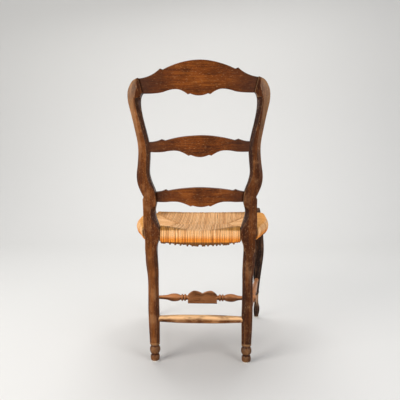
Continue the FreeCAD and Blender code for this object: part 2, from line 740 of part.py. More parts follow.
def cross_half_curves():
    """Half of the cross stretcher's turning: neck, two rings, vase and taper to the tenon."""
    block = "(Sizes.block_length / 2)"
    neck, ring, vase = "Sizes.cross_neck_radius", "Sizes.cross_ring_radius", "Sizes.cross_vase_radius"
    taper = "Sizes.cross_end_radius"
    tip = f"({CROSS_HALF} - Sizes.side_ball_radius + Sizes.cross_tenon)"

    def out(distance):
        return f"({block} + {distance})"

    length = "Sizes.cross_ring_length"
    curves = [[(out(-6), neck), (out(7), neck)]]
    for start in (7, 17):
        finish = f"{start} + {length}"
        curves += [
            [(out(start), neck), (out(start), ring)],
            [(out(start), ring), (out(f"{start} + {length} / 2"), f"{ring} * 1.12"), (out(finish), ring)],
            [(out(finish), ring), (out(finish), neck)],
            [(out(finish), neck), (out(f"{finish} + 2"), neck)],
        ]
    curves += [
        [curves[-1][-1], (out(35), f"{vase} * 1.05"), (out(60), f"{vase} * 1.15"), (out(80), taper),
         (tip, taper)],
    ]
    return curves, tip


def make_cross_stretcher():
    """The cross stretcher: a block with two humps between turned arms."""
    half, tip = cross_half_curves()
    reach = f"({tip})"
    mirrored_half = mirror_stretches(half)
    left_start = mirrored_half[0][0]
    middle = [[mirrored_half[-1][-1], half[0][0]]]
    body = document.addObject("PartDesign::Body", "cross_stretcher_turning")
    add_turning(body, (
        [[(f"-{reach}", "0"), left_start]] + mirrored_half + middle + half
        + [[half[-1][-1], (reach, "0")], [(reach, "0"), (f"-{reach}", "0")]]
    ))
    place_at(body, "0", CROSS_Y, SIDE_HEIGHT)
    return join("Part::MultiFuse", "cross_stretcher", [body, cross_block()])


def cross_block():
    """The block: two humps sawn along its top, and faces that slope in towards them."""
    end, low, high = "Sizes.block_length / 2", "-Sizes.block_foot", "Sizes.block_end_rise"
    peak, valley = "Sizes.block_hump_rise", "Sizes.block_valley_rise"
    half_top = [
        ("0", valley), (f"0.3 * {end}", f"{peak} - 1"), (f"0.75 * {end}", peak), (end, high),
    ]
    front = outline_pad("cross_block_front", "XZ_Plane", [
        half_top,
        [(end, high), (end, low)],
        [(end, low), (f"-({end})", low)],
        [(f"-({end})", low), (f"-({end})", high)],
        mirror_stretches([half_top])[0],
    ], "Sizes.block_thickness * 2")
    face, top_face = "Sizes.block_thickness / 2", "Sizes.block_top_thickness / 2"
    side = outline_pad("cross_block_side", "YZ_Plane", polygon([
        (face, low), (face, "Sizes.block_shoulder"), (top_face, peak), (f"-{top_face}", peak),
        (f"-{face}", "Sizes.block_shoulder"), (f"-{face}", low),
    ]), "Sizes.block_length * 2")
    for piece in (front, side):
        place_at(piece, "0", CROSS_Y, SIDE_HEIGHT)
    return join("Part::MultiCommon", "cross_block", [front, side])


# ---------------------------------------------------------------- glides

def make_glide(label, across, back):
    """A domed glide with a shank that is driven up into the foot."""
    radius, height, rim = "Sizes.glide_radius", "Sizes.glide_height", "Sizes.glide_rim"
    shank_top = f"{height} + Sizes.shank_length"
    glide = document.addObject("PartDesign::Body", label)
    add_turning(glide, [
        [("0", "0"), (f"{radius} - {rim}", "0")],
        [(f"{radius} - {rim}", "0"), (radius, rim)],
        [(radius, rim), (radius, height)],
        [(radius, height), ("Sizes.shank_radius", height)],
        [("Sizes.shank_radius", height), ("Sizes.shank_radius", shank_top)],
        [("Sizes.shank_radius", shank_top), ("0", shank_top)],
        [("0", shank_top), ("0", "0")],
    ], "XZ_Plane", "V_Axis")
    place_at(glide, across, back, "0")
    return glide


# ---------------------------------------------------------------- woven seat

def seat_plan():
    """The seat's edge in plan: curved sides, rounded front corners, straight front."""
    side = seat_edge("0")
    corner = [
        side[-1], (f"{SEAT_SIDE} - 8", SEAT_FRONT), (f"{SEAT_SIDE} - 46", SEAT_FRONT),
    ]
    rear = f"({REAR} + Sizes.rear_rail_setback + Sizes.rail_thickness / 2 + Sizes.rush_wrap)"
    half = [[("0", rear), (side[0][0], rear)], [(side[0][0], rear), side[0]], side, corner,
            [corner[-1], ("0", SEAT_FRONT)]]
    return half + mirror_stretches(half)


def make_seat_blank():
    """The whole seat as one rounded slab, before its rails and corners are taken out."""
    body = outline_pad("seat_slab", "XY_Plane", seat_plan(), "Sizes.rush_thickness", symmetric=False)
    document.recompute()
    slab = body.Tip
    top = value("Sizes.rush_thickness")
    edges = []
    for index, edge in enumerate(slab.Shape.Edges, start=1):
        heights = {round(vertex.Z, 3) for vertex in edge.Vertexes}
        if heights in ({0.0}, {round(top, 3)}):
            edges.append(f"Edge{index}")
    rounding = body.newObject("PartDesign::Fillet", "seat_edge_rounding")
    rounding.Base = (slab, edges)
    rounding.setExpression("Radius", "Sizes.rush_edge_radius")
    body.Tip = rounding
    place_at(body, "0", "0", SEAT_BOTTOM)
    return body


def seat_corners():
    """The four corners that the posts and the leg blocks fill."""
    height = "Sizes.rush_thickness * 3"
    low = f"{SEAT_BOTTOM} - Sizes.rush_thickness"
    inner = f"({POST_LINE} - 36 - Sizes.corner_clearance)"
    post_front = f"({REAR} - Sizes.post_half_depth - 1 - Sizes.corner_clearance)"
    leg_inner = f"({LEG_LINE} - Sizes.block_half - Sizes.corner_clearance)"
    leg_rear = f"({FRONT_LEG} + Sizes.block_half + Sizes.corner_clearance)"
    corners = []
    for side, name in ((1, "left"), (-1, "right")):
        post = f"{inner}" if side == 1 else f"-{inner} - Sizes.leg_depth"
        leg = f"{leg_inner}" if side == 1 else f"-{leg_inner} - Sizes.leg_depth"
        corners.append(bound_box(
            f"{name}_post_corner", "Sizes.leg_depth", "Sizes.leg_depth / 2", height,
            post, post_front, low))
        corners.append(bound_box(
            f"{name}_leg_corner", "Sizes.leg_depth", "Sizes.leg_depth / 2", height,
            leg, f"{leg_rear} - Sizes.leg_depth / 2", low))
    return corners


def sag_ball():
    """The large ball whose underside hollows the top of the seat."""
    ball = document.addObject("Part::Sphere", "seat_hollow")
    radius = "((Sizes.sag_radius^2 + Sizes.seat_sag^2) / (2 * Sizes.seat_sag))"
    ball.setExpression("Radius", radius)
    place_at(ball, "0", down_seat(0.45), f"Sizes.seat_height - Sizes.seat_sag + {radius}")
    return ball


def make_stuffing():
    """The flat pad of stuffing that is packed between the two layers of weave."""
    inset = "Sizes.stuffing_inset"
    rear, front = f"({REAR} - {inset})", f"({SEAT_FRONT} + {inset})"
    pad = outline_pad("seat_stuffing", "XY_Plane", polygon([
        (f"{POST_LINE} - {inset} / 2", rear),
        (f"{SEAT_SIDE} - {inset} * 1.3", down_seat(0.6)),
        (f"{LEG_LINE} - {inset}", front),
        (f"-({LEG_LINE} - {inset})", front),
        (f"-({SEAT_SIDE} - {inset} * 1.3)", down_seat(0.6)),
        (f"-({POST_LINE} - {inset} / 2)", rear),
    ]), "Sizes.stuffing_thickness", symmetric=False)
    place_at(pad, "0", "0", f"{SEAT_BOTTOM} + Sizes.rush_wrap * 1.5")
    return pad


BEYOND_THE_SEAT = 2.6    # how many times the mitre line's length each wedge runs out


def mitre_sectors():
    """Four wedges in plan that part the weave along its mitre lines."""
    apex = "Sizes.mitre_apex"

    def beyond(corner_x, corner_y):
        return (
            f"({apex} + ({corner_x} - {apex}) * {BEYOND_THE_SEAT})",
            f"({MITRE_LINE} + ({corner_y} - {MITRE_LINE}) * {BEYOND_THE_SEAT})",
        )

    front_x, front_y = beyond(LEG_LINE, FRONT_LEG)
    rear_x, rear_y = beyond(POST_LINE, REAR)
    return {
        "front": [(apex, MITRE_LINE), (front_x, front_y), (f"-{front_x}", front_y),
                  (f"-{apex}", MITRE_LINE)],
        "rear": [(f"-{apex}", MITRE_LINE), (f"-{rear_x}", rear_y), (rear_x, rear_y),
                 (apex, MITRE_LINE)],
        "left": [(apex, MITRE_LINE), (rear_x, rear_y), (front_x, front_y)],
        "right": [(f"-{apex}", MITRE_LINE), (f"-{front_x}", front_y), (f"-{rear_x}", rear_y)],
    }


def make_rush(inside):
    """The four woven sections of the seat, wound over the rails and the stuffing."""
    hollow = join("Part::MultiFuse", "seat_hollows", inside + seat_corners() + [sag_ball()])
    shell = cut("seat_shell", make_seat_blank(), hollow)
    panels = {}
    for name, places in mitre_sectors().items():
        sector = outline_pad(f"{name}_sector", "XY_Plane", polygon(places), "Sizes.chair_height * 2")
        panels[f"rush_{name}_panel"] = join(
            "Part::MultiCommon", f"rush_{name}_panel", [shell, sector])
    return panels


# ---------------------------------------------------------------- the whole chair

def build_chair():
    """Make every sub-part, tenoned pieces first, and return them by node name."""
    nodes = {
        "crest_rail": make_slat("crest_rail", "crest", "1"),
        "middle_slat": make_slat("middle_slat", "middle", "Sizes.middle_place"),
        "lower_slat": make_slat("lower_slat", "lower", "Sizes.lower_place"),
        "front_seat_rail": make_front_rail(),
        "rear_seat_rail": make_rear_rail(),
        "rear_stretcher": make_rear_stretcher(),
        "cross_stretcher": make_cross_stretcher(),
        "seat_stuffing": make_stuffing(),
    }
    nodes["left_seat_rail"], nodes["right_seat_rail"] = make_side_rails()
    side_blank = make_side_stretchers()
    nodes["left_side_stretcher"] = cut("left_side_stretcher", side_blank, nodes["cross_stretcher"])
    nodes["right_side_stretcher"] = mirrored("right_side_stretcher", nodes["left_side_stretcher"])
    glide_places = {
        "rear": (FOOT_LINE, leg_centre("Sizes.foot_height")),
        "front": (LEG_LINE, FRONT_LEG),
    }
    for end, (across, back) in glide_places.items():
        nodes[f"left_{end}_glide"] = make_glide(f"left_{end}_glide", across, back)
        nodes[f"right_{end}_glide"] = make_glide(f"right_{end}_glide", f"-{across}", back)
    nodes["left_rear_post"], nodes["right_rear_post"] = make_posts([
        nodes["crest_rail"], nodes["middle_slat"], nodes["lower_slat"], nodes["rear_seat_rail"],
        nodes["left_seat_rail"], nodes["rear_stretcher"], side_blank, nodes["left_rear_glide"],
    ])
    nodes["left_front_leg"], nodes["right_front_leg"] = make_front_legs([
        nodes["front_seat_rail"], nodes["left_seat_rail"], side_blank, nodes["left_front_glide"],
    ])
    nodes.update(make_rush([
        nodes["front_seat_rail"], nodes["rear_seat_rail"], nodes["left_seat_rail"],
        nodes["right_seat_rail"], nodes["seat_stuffing"],
    ]))
    return nodes


def check_document(nodes):
    """Stop if any object failed or any sub-part is missing, empty or invalid."""
    for thing in document.Objects:
        if {"Invalid", "Error"} & set(thing.State):
            raise RuntimeError(f"{thing.Name} failed: {thing.State}")
    for name, piece in nodes.items():
        if piece.Shape.isNull() or not piece.Shape.isValid() or not piece.Shape.Solids:
            raise RuntimeError(f"{name} has no valid solid")


def write_parts(nodes):
    """Write each sub-part to its own file, named after its node."""
    os.makedirs(PARTS_FOLDER, exist_ok=True)
    for name, piece in nodes.items():
        piece.Label = name
        piece.Shape.exportStep(os.path.join(PARTS_FOLDER, f"{name}.step"))
        print(name, len(piece.Shape.Solids), "solid", round(piece.Shape.Volume), "cubic mm")


fill_sheet()
chair = build_chair()
document.recompute()
check_document(chair)
write_parts(chair)
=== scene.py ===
import math
import random

import bpy
import numpy as np
from mathutils import Matrix, Vector


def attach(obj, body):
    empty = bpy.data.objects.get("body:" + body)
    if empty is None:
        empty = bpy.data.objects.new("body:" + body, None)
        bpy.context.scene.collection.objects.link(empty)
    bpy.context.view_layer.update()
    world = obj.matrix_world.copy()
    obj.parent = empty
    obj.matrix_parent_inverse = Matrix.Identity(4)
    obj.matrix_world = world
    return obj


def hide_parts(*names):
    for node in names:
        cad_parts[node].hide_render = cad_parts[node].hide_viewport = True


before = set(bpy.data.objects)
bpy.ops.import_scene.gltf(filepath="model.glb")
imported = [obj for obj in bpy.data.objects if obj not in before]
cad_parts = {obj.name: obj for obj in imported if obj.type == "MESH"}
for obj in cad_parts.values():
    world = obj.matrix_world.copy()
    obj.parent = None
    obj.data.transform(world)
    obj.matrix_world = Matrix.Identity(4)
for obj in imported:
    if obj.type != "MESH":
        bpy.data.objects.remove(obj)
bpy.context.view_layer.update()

# The looks of a ladder-back chair with a rush seat. Metres, +Z up, the chair faces -Y and +X is the
# sitter's left. Each wooden piece is skinned from the outlines that it is sawn to, with the facets
# and hollows that are carved on it, and each strand of the seat is a tube wound over its rail.

MM = 0.001

# ------------------------ driving dimensions

SEAT_TOP = 0.447
CHAIR_TOP = 0.970
BACK_HEIGHT = CHAIR_TOP - SEAT_TOP
FOOT_TOP = 0.062
LEG_HEIGHT = SEAT_TOP - FOOT_TOP
GLIDE_TOP = 0.004

LEG_DEPTH = 0.395
REAR = 0.157
FRONT_LEG = REAR - LEG_DEPTH
SEAT_FRONT = FRONT_LEG - 0.022
FOOT_RAKE = 0.025
BACK_RAKE = 0.080
RAKE_POWER = 1.15

POST_LINE = 0.166
FOOT_LINE = 0.152
LEG_LINE = 0.215
SEAT_SIDE = 0.245
BLOCK_HALF = 0.022

SIDES = {"left": False, "right": True}     # the right side mirrors the left

SLAT_THICKNESS = 0.016
SLAT_BOW = 0.015
SLAT_HOUSING = 0.006
SLAT_WAVER = 0.4 * MM
CARVE_DRIFT = -0.003     # the slats' shaping was cut a little towards the sitter's right


# ------------------------ curves

def bend(start, handle, end, share):
    """A point on the curve from start to end that leans towards its handle."""
    return (1 - share) ** 2 * start + 2 * share * (1 - share) * handle + share ** 2 * end


def spline(poles, steps=14):
    """Points along the smooth curve drawn from its control points."""
    poles = np.array(poles, float)
    middles = (poles[1:-2] + poles[2:-1]) / 2
    joints = [poles[0], *middles, poles[-1]]
    points = []
    for start, handle, end in zip(joints, poles[1:-1], joints[1:]):
        points += [bend(start, handle, end, share) for share in np.linspace(0, 1, steps, endpoint=False)]
    points.append(poles[-1])
    return np.array(points)


def edge_at(points, stations):
    """Where an outline stands at each station along its second coordinate."""
    order = np.argsort(points[:, 1], kind="stable")
    return np.interp(stations, points[order, 1], points[order, 0])


def ramp(stations, table):
    """Values between the entries of a short list of (station, value)."""
    places, values = zip(*table)
    return np.interp(stations, places, values)


def up_leg(share):
    return FOOT_TOP + LEG_HEIGHT * share


def up_back(share):
    return SEAT_TOP + BACK_HEIGHT * share


def down_seat(share):
    return REAR - LEG_DEPTH * share


def leg_centre(height):
    return REAR + FOOT_RAKE * (1 - height / SEAT_TOP)


def back_centre(share):
    return REAR + BACK_RAKE * share ** RAKE_POWER


# ------------------------ mesh making

ARRIS_ANGLE = 40         # degrees between faces that meet in a crisp edge
SOFTENING = 1.2 * MM     # how far the arrises are softened
MOST_SOFTENED = 0.45     # the largest part of a side that softening takes
NO_LENGTH = 1e-9


def add_object(name, data):
    thing = bpy.data.objects.new(name, data)
    bpy.context.collection.objects.link(thing)
    return thing


def mesh_piece(name, vertices, faces, grain, material, sharp=None):
    """A mesh object with a grain coordinate on every vertex and, where asked, crisp edges."""
    mesh = bpy.data.meshes.new(name)
    mesh.from_pydata([tuple(vertex) for vertex in vertices], [], faces)
    layer = mesh.attributes.new("grain", "FLOAT_VECTOR", "POINT")
    layer.data.foreach_set("vector", np.asarray(grain, float).ravel())
    mesh.validate()
    mesh.shade_smooth()
    if sharp:
        mesh.set_sharp_from_angle(angle=math.radians(sharp))
    mesh.materials.append(material)
    return add_object(name, mesh)


def skin(rings, offset=0):
    """Faces of a closed tube through equal rings of points, with a fan over each end."""
    count, around = rings.shape[0], rings.shape[1]
    vertices = rings.reshape(-1, 3).tolist()
    faces = []
    for row in range(count - 1):
        for column in range(around):
            here, after = row * around + column, row * around + (column + 1) % around
            faces.append((here, after, after + around, here + around))
    vertices += [rings[0].mean(axis=0).tolist(), rings[-1].mean(axis=0).tolist()]
    low, high = len(vertices) - 2, len(vertices) - 1
    last = (count - 1) * around
    for column in range(around):
        after = (column + 1) % around
        faces.append((after, column, low))
        faces.append((last + column, last + after, high))
    faces = [tuple(index + offset for index in face) for face in faces]
    return vertices, faces


def place_piece(piece, replaced):
    """Hang the piece on the root body and hide the node that it stands for."""
    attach(piece, "root")
    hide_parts(replaced)


def make_wood(node, shells, material, mirror=False, name=None):
    """One wooden piece from closed shells, each a grid of points and its grain coordinates."""
    vertices, faces, grains = [], [], []
    for rings, grain in shells:
        points, quads = skin(rings, len(vertices))
        vertices += points
        faces += quads
        grains += grain.reshape(-1, 3).tolist() + [grain[0].mean(axis=0), grain[-1].mean(axis=0)]
    if mirror:
        vertices = [(-x, y, z) for x, y, z in vertices]
        faces = [tuple(reversed(face)) for face in faces]
    piece = mesh_piece(name or f"{node}_wood", vertices, faces, grains, material, ARRIS_ANGLE)
    weighted = piece.modifiers.new("facet_normals", "WEIGHTED_NORMAL")
    weighted.keep_sharp = True
    place_piece(piece, node)


def carved_section(low, high, front, rear, cuts, rounding=SOFTENING, turn=4):
    """A rectangle in plan with a facet or a hollow on each corner and softened arrises.

    cuts holds (across, deep, hollow) for the rear outer, rear inner, front inner and front outer
    corners.
    """
    corners = ((high, rear), (low, rear), (low, front), (high, front))
    polygon, softness = [], []
    for index, ((x, y), (across, deep, hollow)) in enumerate(zip(corners, cuts)):
        inward = -1 if x == high else 1
        towards = -1 if y == rear else 1
        by_x = np.array((x + inward * across, y))
        by_y = np.array((x, y + towards * deep))
        middle = (by_x + by_y) / 2 + hollow * np.array((inward, towards)) / math.sqrt(2)
        polygon += [by_y, middle, by_x] if index in (0, 2) else [by_x, middle, by_y]
        softness += [rounding, across + deep, rounding]
    points = []
    for index, corner in enumerate(polygon):
        to_before = polygon[index - 1] - corner
        to_after = polygon[(index + 1) % len(polygon)] - corner
        before, after = (max(np.linalg.norm(side), NO_LENGTH) for side in (to_before, to_after))
        start = corner + to_before * min(softness[index] / before, MOST_SOFTENED)
        end = corner + to_after * min(softness[index] / after, MOST_SOFTENED)
        points += [bend(start, corner, end, share) for share in np.linspace(0, 1, turn)]
    return np.array(points)


def stack(sections, heights, lines):
    """Level sections up a post or leg, with the grain measured from its own line."""
    levels = [np.full((len(section), 1), height) for section, height in zip(sections, heights)]
    rings = [np.hstack(pair) for pair in zip(sections, levels)]
    grain = [np.hstack([section - line, level])
             for section, line, level in zip(sections, lines, levels)]
    return np.array(rings), np.array(grain)


def wander(stations, size, seed, pace=9.0):
    """A gentle hand-worked waver along a piece."""
    chance = random.Random(seed)
    waves = [(chance.uniform(0.5, 1.6) * pace, chance.uniform(0, math.tau)) for _ in range(4)]
    total = sum(np.sin(stations * pace_here * math.tau + phase) for pace_here, phase in waves)
    return size * total / len(waves)


# ------------------------ rear posts

HEAD_SHARE = 0.9045      # how far up the back the posts end


def edge_points(*parts):
    """Points of (across, up) from parts of (line, how shares become heights, points in mm)."""
    return [(line + across * MM, up(share)) for line, up, points in parts for across, share in points]


def post_edges():
    """Outer and inner edges of the left post, as points of (across, up)."""
    outer_leg = spline(edge_points(
        (FOOT_LINE, up_leg, [(16.5, 0), (18.5, 0.125), (21, 0.36), (19.3, 0.553)]),
        (POST_LINE, up_leg, [(13.5, 0.709), (14.5, 0.826), (13.5, 0.904)]),
        (POST_LINE, up_back, [(19.5, 0.01), (17.5, 0.1), (18, 0.187)])))
    outer_back = spline(edge_points((POST_LINE, up_back, [
        (14.5, 0.203), (30, 0.26), (35, 0.331), (28.5, 0.417), (23.5, 0.512), (34.5, 0.627),
        (45.5, 0.723), (51.5, 0.78), (51.5, 0.824), (47, 0.853), (36, 0.889), (20, HEAD_SHARE),
        (15, HEAD_SHARE)])))
    inner = spline(edge_points(
        (POST_LINE, up_back, [
            (4, 0.82), (11.5, 0.805), (13, 0.748), (7.5, 0.675), (-4.5, 0.579), (-12.5, 0.493),
            (-9, 0.417), (-4.5, 0.354), (-10, 0.302), (-25, 0.235), (-27, 0.178), (-25, 0.153),
            (-18.5, 0.115), (-21.5, 0.073), (-32, 0.015)]),
        (POST_LINE, up_leg, [(-38, 0.961), (-32, 0.909), (-23.5, 0.847), (-24.5, 0.774)]),
        (FOOT_LINE, up_leg, [
            (-14.5, 0.618), (-13, 0.519), (-15, 0.306), (-16.8, 0.1), (-15.8, 0)])))
    crest_joint = edge_points((POST_LINE, up_back, [(4, 0.82), (14.5, 0.902)]))
    return np.vstack([outer_leg, outer_back]), np.vstack([inner[::-1], crest_joint])


def post_depths():
    """Front and rear faces of a post, as points of (back, up)."""
    leg, post, head = 0.0155, 0.018, 0.0135
    stations = [
        (up_leg(share), leg_centre(up_leg(share)), half)
        for share, half in ((0, leg), (0.35, leg * 1.1), (0.7, leg * 1.1), (0.92, post))
    ]
    stations += [
        (up_back(share), back_centre(share), half)
        for share, half in ((0.05, post), (0.3, post * 0.95), (0.6, head * 1.1), (0.94, head))
    ]
    rear = spline([(centre + half, up) for up, centre, half in stations])
    front = spline([(centre - half, up) for up, centre, half in stations])
    return front, rear


WAIST = up_back(0.195)   # the sharp turn on the outer edge, above the seat
TONGUE = 0.372           # where the leg's long facets stop, under the seat
SLAT_NOTCH = 0.521       # under the lower slat's end
HEAD_NOTCH = 0.862       # under the crest rail's end
HEAD_TOP = up_back(HEAD_SHARE)
STEP = 0.001             # the height in which a facet stops short
CROWN = 0.012            # the rounded top of the head
STRIP = 10.5 * MM        # the flat strip beside the crest rail's end
HAND_WAVER = 0.5 * MM    # how far hand-cut edges stray

# Facets on a post: (height, across, deep, hollow) in mm for each corner.
POST_FACETS = {
    "rear_outer": [
        (FOOT_TOP, 8.5, 8.5, 0), (TONGUE - 0.014, 9, 9, 0), (TONGUE, 4, 4, 0),
        (TONGUE + 0.006, 1.4, 1.4, 0), (WAIST, 1.6, 1.6, 0), (WAIST + 0.03, 5, 2, 0),
        (0.65, 10, 4, -0.2), (0.80, 13, 6, -0.6), (HEAD_NOTCH, 24, 8, -1.2),
        (HEAD_TOP - CROWN, 30, 9, -1.5), (HEAD_TOP, 20, 6, -0.5),
    ],
    "rear_inner": [
        (FOOT_TOP, 8.5, 8.5, 0), (TONGUE - 0.012, 9, 9, 0), (TONGUE + 0.002, 6, 6, 0),
        (TONGUE + 0.010, 1.5, 1.5, 0), (0.437, 1.5, 1.5, 0), (0.458, 7, 5, 0.2),
        (0.485, 12, 9, 0.6), (0.512, 12, 10, 0.6), (SLAT_NOTCH, 7, 7, 0.2),
        (SLAT_NOTCH + STEP, 1.5, 1.5, 0), (0.572, 2, 2, 0), (0.60, 8, 6, 0), (0.66, 10, 8, 0),
        (0.75, 11, 9, 0), (0.81, 12, 11, 0.4), (0.835, 14, 14, 2.2), (0.856, 16, 16, 3.2),
        (HEAD_NOTCH, 14, 15, 2.6), (HEAD_NOTCH + STEP, 1.2, 1.2, 0), (HEAD_TOP, 1.0, 1.0, 0),
    ],
    "front_inner": [
        (FOOT_TOP, 8.5, 8.5, 0), (TONGUE - 0.012, 9, 9, 0), (TONGUE + 0.008, 2, 2, 0),
        (0.58, 2, 2, 0), (0.66, 5, 5, 0), (0.84, 5, 5, 0), (HEAD_NOTCH, 2, 2, 0),
        (HEAD_TOP, 1.5, 1.5, 0),
    ],
    "front_outer": [
        (FOOT_TOP, 8.5, 8.5, 0), (TONGUE - 0.014, 9, 9, 0), (TONGUE + 0.006, 2, 2, 0),
        (WAIST, 2, 2, 0), (0.65, 6, 6, 0), (0.84, 8, 7, 0), (HEAD_TOP, 6, 5, 0),
    ],
}


def facet_sizes(corner, height, width, depth):
    """How far a corner's facet reaches across and deep, and how hollow it is, at a height."""
    table = POST_FACETS[corner]
    stations = [row[0] for row in table]
    across, deep, hollow = (
        np.interp(height, stations, [row[column] for row in table]) * MM for column in (1, 2, 3))
    if corner == "rear_outer" and height > HEAD_NOTCH:
        across = max(0.3 * width, min(across, width - STRIP))
        return across, min(deep, 0.45 * depth), hollow
    return min(across, 0.5 * width), min(deep, 0.62 * depth), hollow


def post_shell():
    """The shaped part of the left post, from the top of its foot to its head."""
    outer, inner = post_edges()
    front, rear = post_depths()
    breaks = [WAIST - 4.5 * MM, WAIST + 4.5 * MM, SLAT_NOTCH, SLAT_NOTCH + STEP, HEAD_NOTCH,
              HEAD_NOTCH + STEP, TONGUE, up_back(0.82)]
    even = np.linspace(FOOT_TOP, HEAD_TOP - CROWN, 230)
    crown = HEAD_TOP - CROWN * np.linspace(1, 0.015, 16) ** 1.6
    heights = np.unique(np.concatenate([even, crown, breaks]))
    low = edge_at(inner, heights) + wander(heights, HAND_WAVER, 3)
    high = edge_at(outer, heights) + wander(heights, HAND_WAVER, 4)
    high = np.maximum(high, low + 4 * MM)
    front_y, rear_y = edge_at(front, heights), edge_at(rear, heights)
    rounded = 10 * MM
    soften = 3.5 * MM * np.clip((heights - (HEAD_TOP - rounded)) / rounded, 0, 1) ** 2
    sections, lines = [], []
    for height, left, right, near, far, soft in zip(heights, low, high, front_y, rear_y, soften):
        cuts = [facet_sizes(corner, height, right - left, far - near) for corner in POST_FACETS]
        sections.append(carved_section(left, right, near + soft, far - soft, cuts))
        centre = leg_centre(height) if height < SEAT_TOP else (near + far) / 2
        lines.append((POST_LINE, centre))
    return stack(sections, heights, lines)


def lathe(profile, around, base, axis=(0, 0, 1), wobble=0.0):
    """A turned shell: a profile of (along, radius) spun about an axis through a base point."""
    axis = Vector(axis).normalized()
    spin = axis.to_track_quat("Z", "Y").to_matrix()
    rings, grain = [], []
    for along, radius in profile:
        ring, grain_ring = [], []
        for step in range(around):
            angle = math.tau * step / around
            here = radius * (1 + wobble * math.sin(2 * angle + along * 40))
            local = Vector((here * math.cos(angle), here * math.sin(angle), along))
            ring.append(Vector(base) + spin @ local)
            grain_ring.append(local)
        rings.append(ring)
        grain.append(grain_ring)
    return np.array(rings, float), np.array(grain, float)


def smooth_profile(stretches, steps=7):
    """A turning's profile from straight stretches and curves of (along, radius)."""
    points = []
    for stretch in stretches:
        drawn = spline(stretch, steps) if len(stretch) > 2 else np.array(stretch, float)
        points += drawn.tolist()
    kept = [points[0]]
    for point in points[1:]:
        if math.dist(point, kept[-1]) > 2e-5:
            kept.append(point)
    return kept


def rear_foot_shell():
    """The turned foot under a rear leg: ring, groove, bulb, waist and pad."""
    def at(share, radius):
        return (GLIDE_TOP + (FOOT_TOP - GLIDE_TOP) * share, radius * MM)

    profile = smooth_profile([
        [at(0, 12), at(0.0, 14), at(0.06, 14.8)],
        [at(0.06, 14.8), at(0.18, 15.6), at(0.3, 14.8), at(0.37, 11.8)],
        [at(0.37, 11.8), at(0.41, 12.6)],
        [at(0.41, 12.6), at(0.5, 17.4), at(0.76, 17.4), at(0.88, 12.6)],
        [at(0.88, 12.6), at(0.905, 12.2)],
        [at(0.905, 12.2), at(0.93, 16.2), at(0.98, 16.2), at(1.0, 14.2)],
        [at(1.0, 14.2), at(1.05, 13.0)],
    ])
    return lathe(profile, 40, (FOOT_LINE, leg_centre(FOOT_TOP), 0))


def make_posts(woods):
    for side, mirror in SIDES.items():
        shells = [post_shell(), rear_foot_shell()]
        make_wood(f"{side}_rear_post", shells, woods[side], mirror, name=f"{side}_post_wood")


# ------------------------ crest rail and slats

SLATS = {
    "crest_rail": {
        "place": 1.0, "depth": 103.5, "ear": (117, 24), "notch": (108, 27), "end": (180, 52),
        "nick": (27, 6.2), "cusp": (34, 3.4), "arch": (76, 19), "shoulder": (168, 6),
    },
    "middle_slat": {
        "place": 0.578, "depth": 67.5, "ear": (120, 12.5), "notch": (108, 16.5), "end": (156, 22),
        "nick": (28, 6.6), "cusp": (36, 4.2), "arch": (84, 20), "shoulder": (156, 13.8),
    },
    "lower_slat": {
        "place": 0.2645, "depth": 63.5, "ear": (112, 8), "notch": (104, 12), "end": (143, 17),
        "nick": (25, 4.4), "cusp": (32, 1.8), "arch": (84, 16.5), "shoulder": (143, 13.5),
    },
}


def slat_edges(sizes):
    """Top and bottom edges of half a slat, as points of (up from its top middle, across)."""
    depth = sizes["depth"]
    (ear, ear_drop), (notch, notch_drop) = sizes["ear"], sizes["notch"]
    (end, end_drop), (nick, nick_rise) = sizes["end"], sizes["nick"]
    (cusp, cusp_rise), (arch, arch_rise) = sizes["cusp"], sizes["arch"]
    shoulder, shoulder_rise = sizes["shoulder"]
    top = np.vstack([
        spline([(0, 0), (0, notch / 2), (-notch_drop, notch)]),
        spline([(-ear_drop, ear),
                (-0.18 * ear_drop - 0.82 * end_drop, 0.6 * ear + 0.4 * end), (-end_drop, end)]),
    ])
    bottom = np.vstack([
        spline([(-depth, 0), (-depth, nick / 2), (nick_rise - depth, nick)]),
        spline([(cusp_rise - depth, cusp), (arch_rise - depth, arch * 0.7),
                (arch_rise - depth, arch * 1.13), (shoulder_rise - depth, (shoulder + arch) / 2),
                (shoulder_rise - depth, shoulder)]),
    ])
    return top * MM, bottom * MM


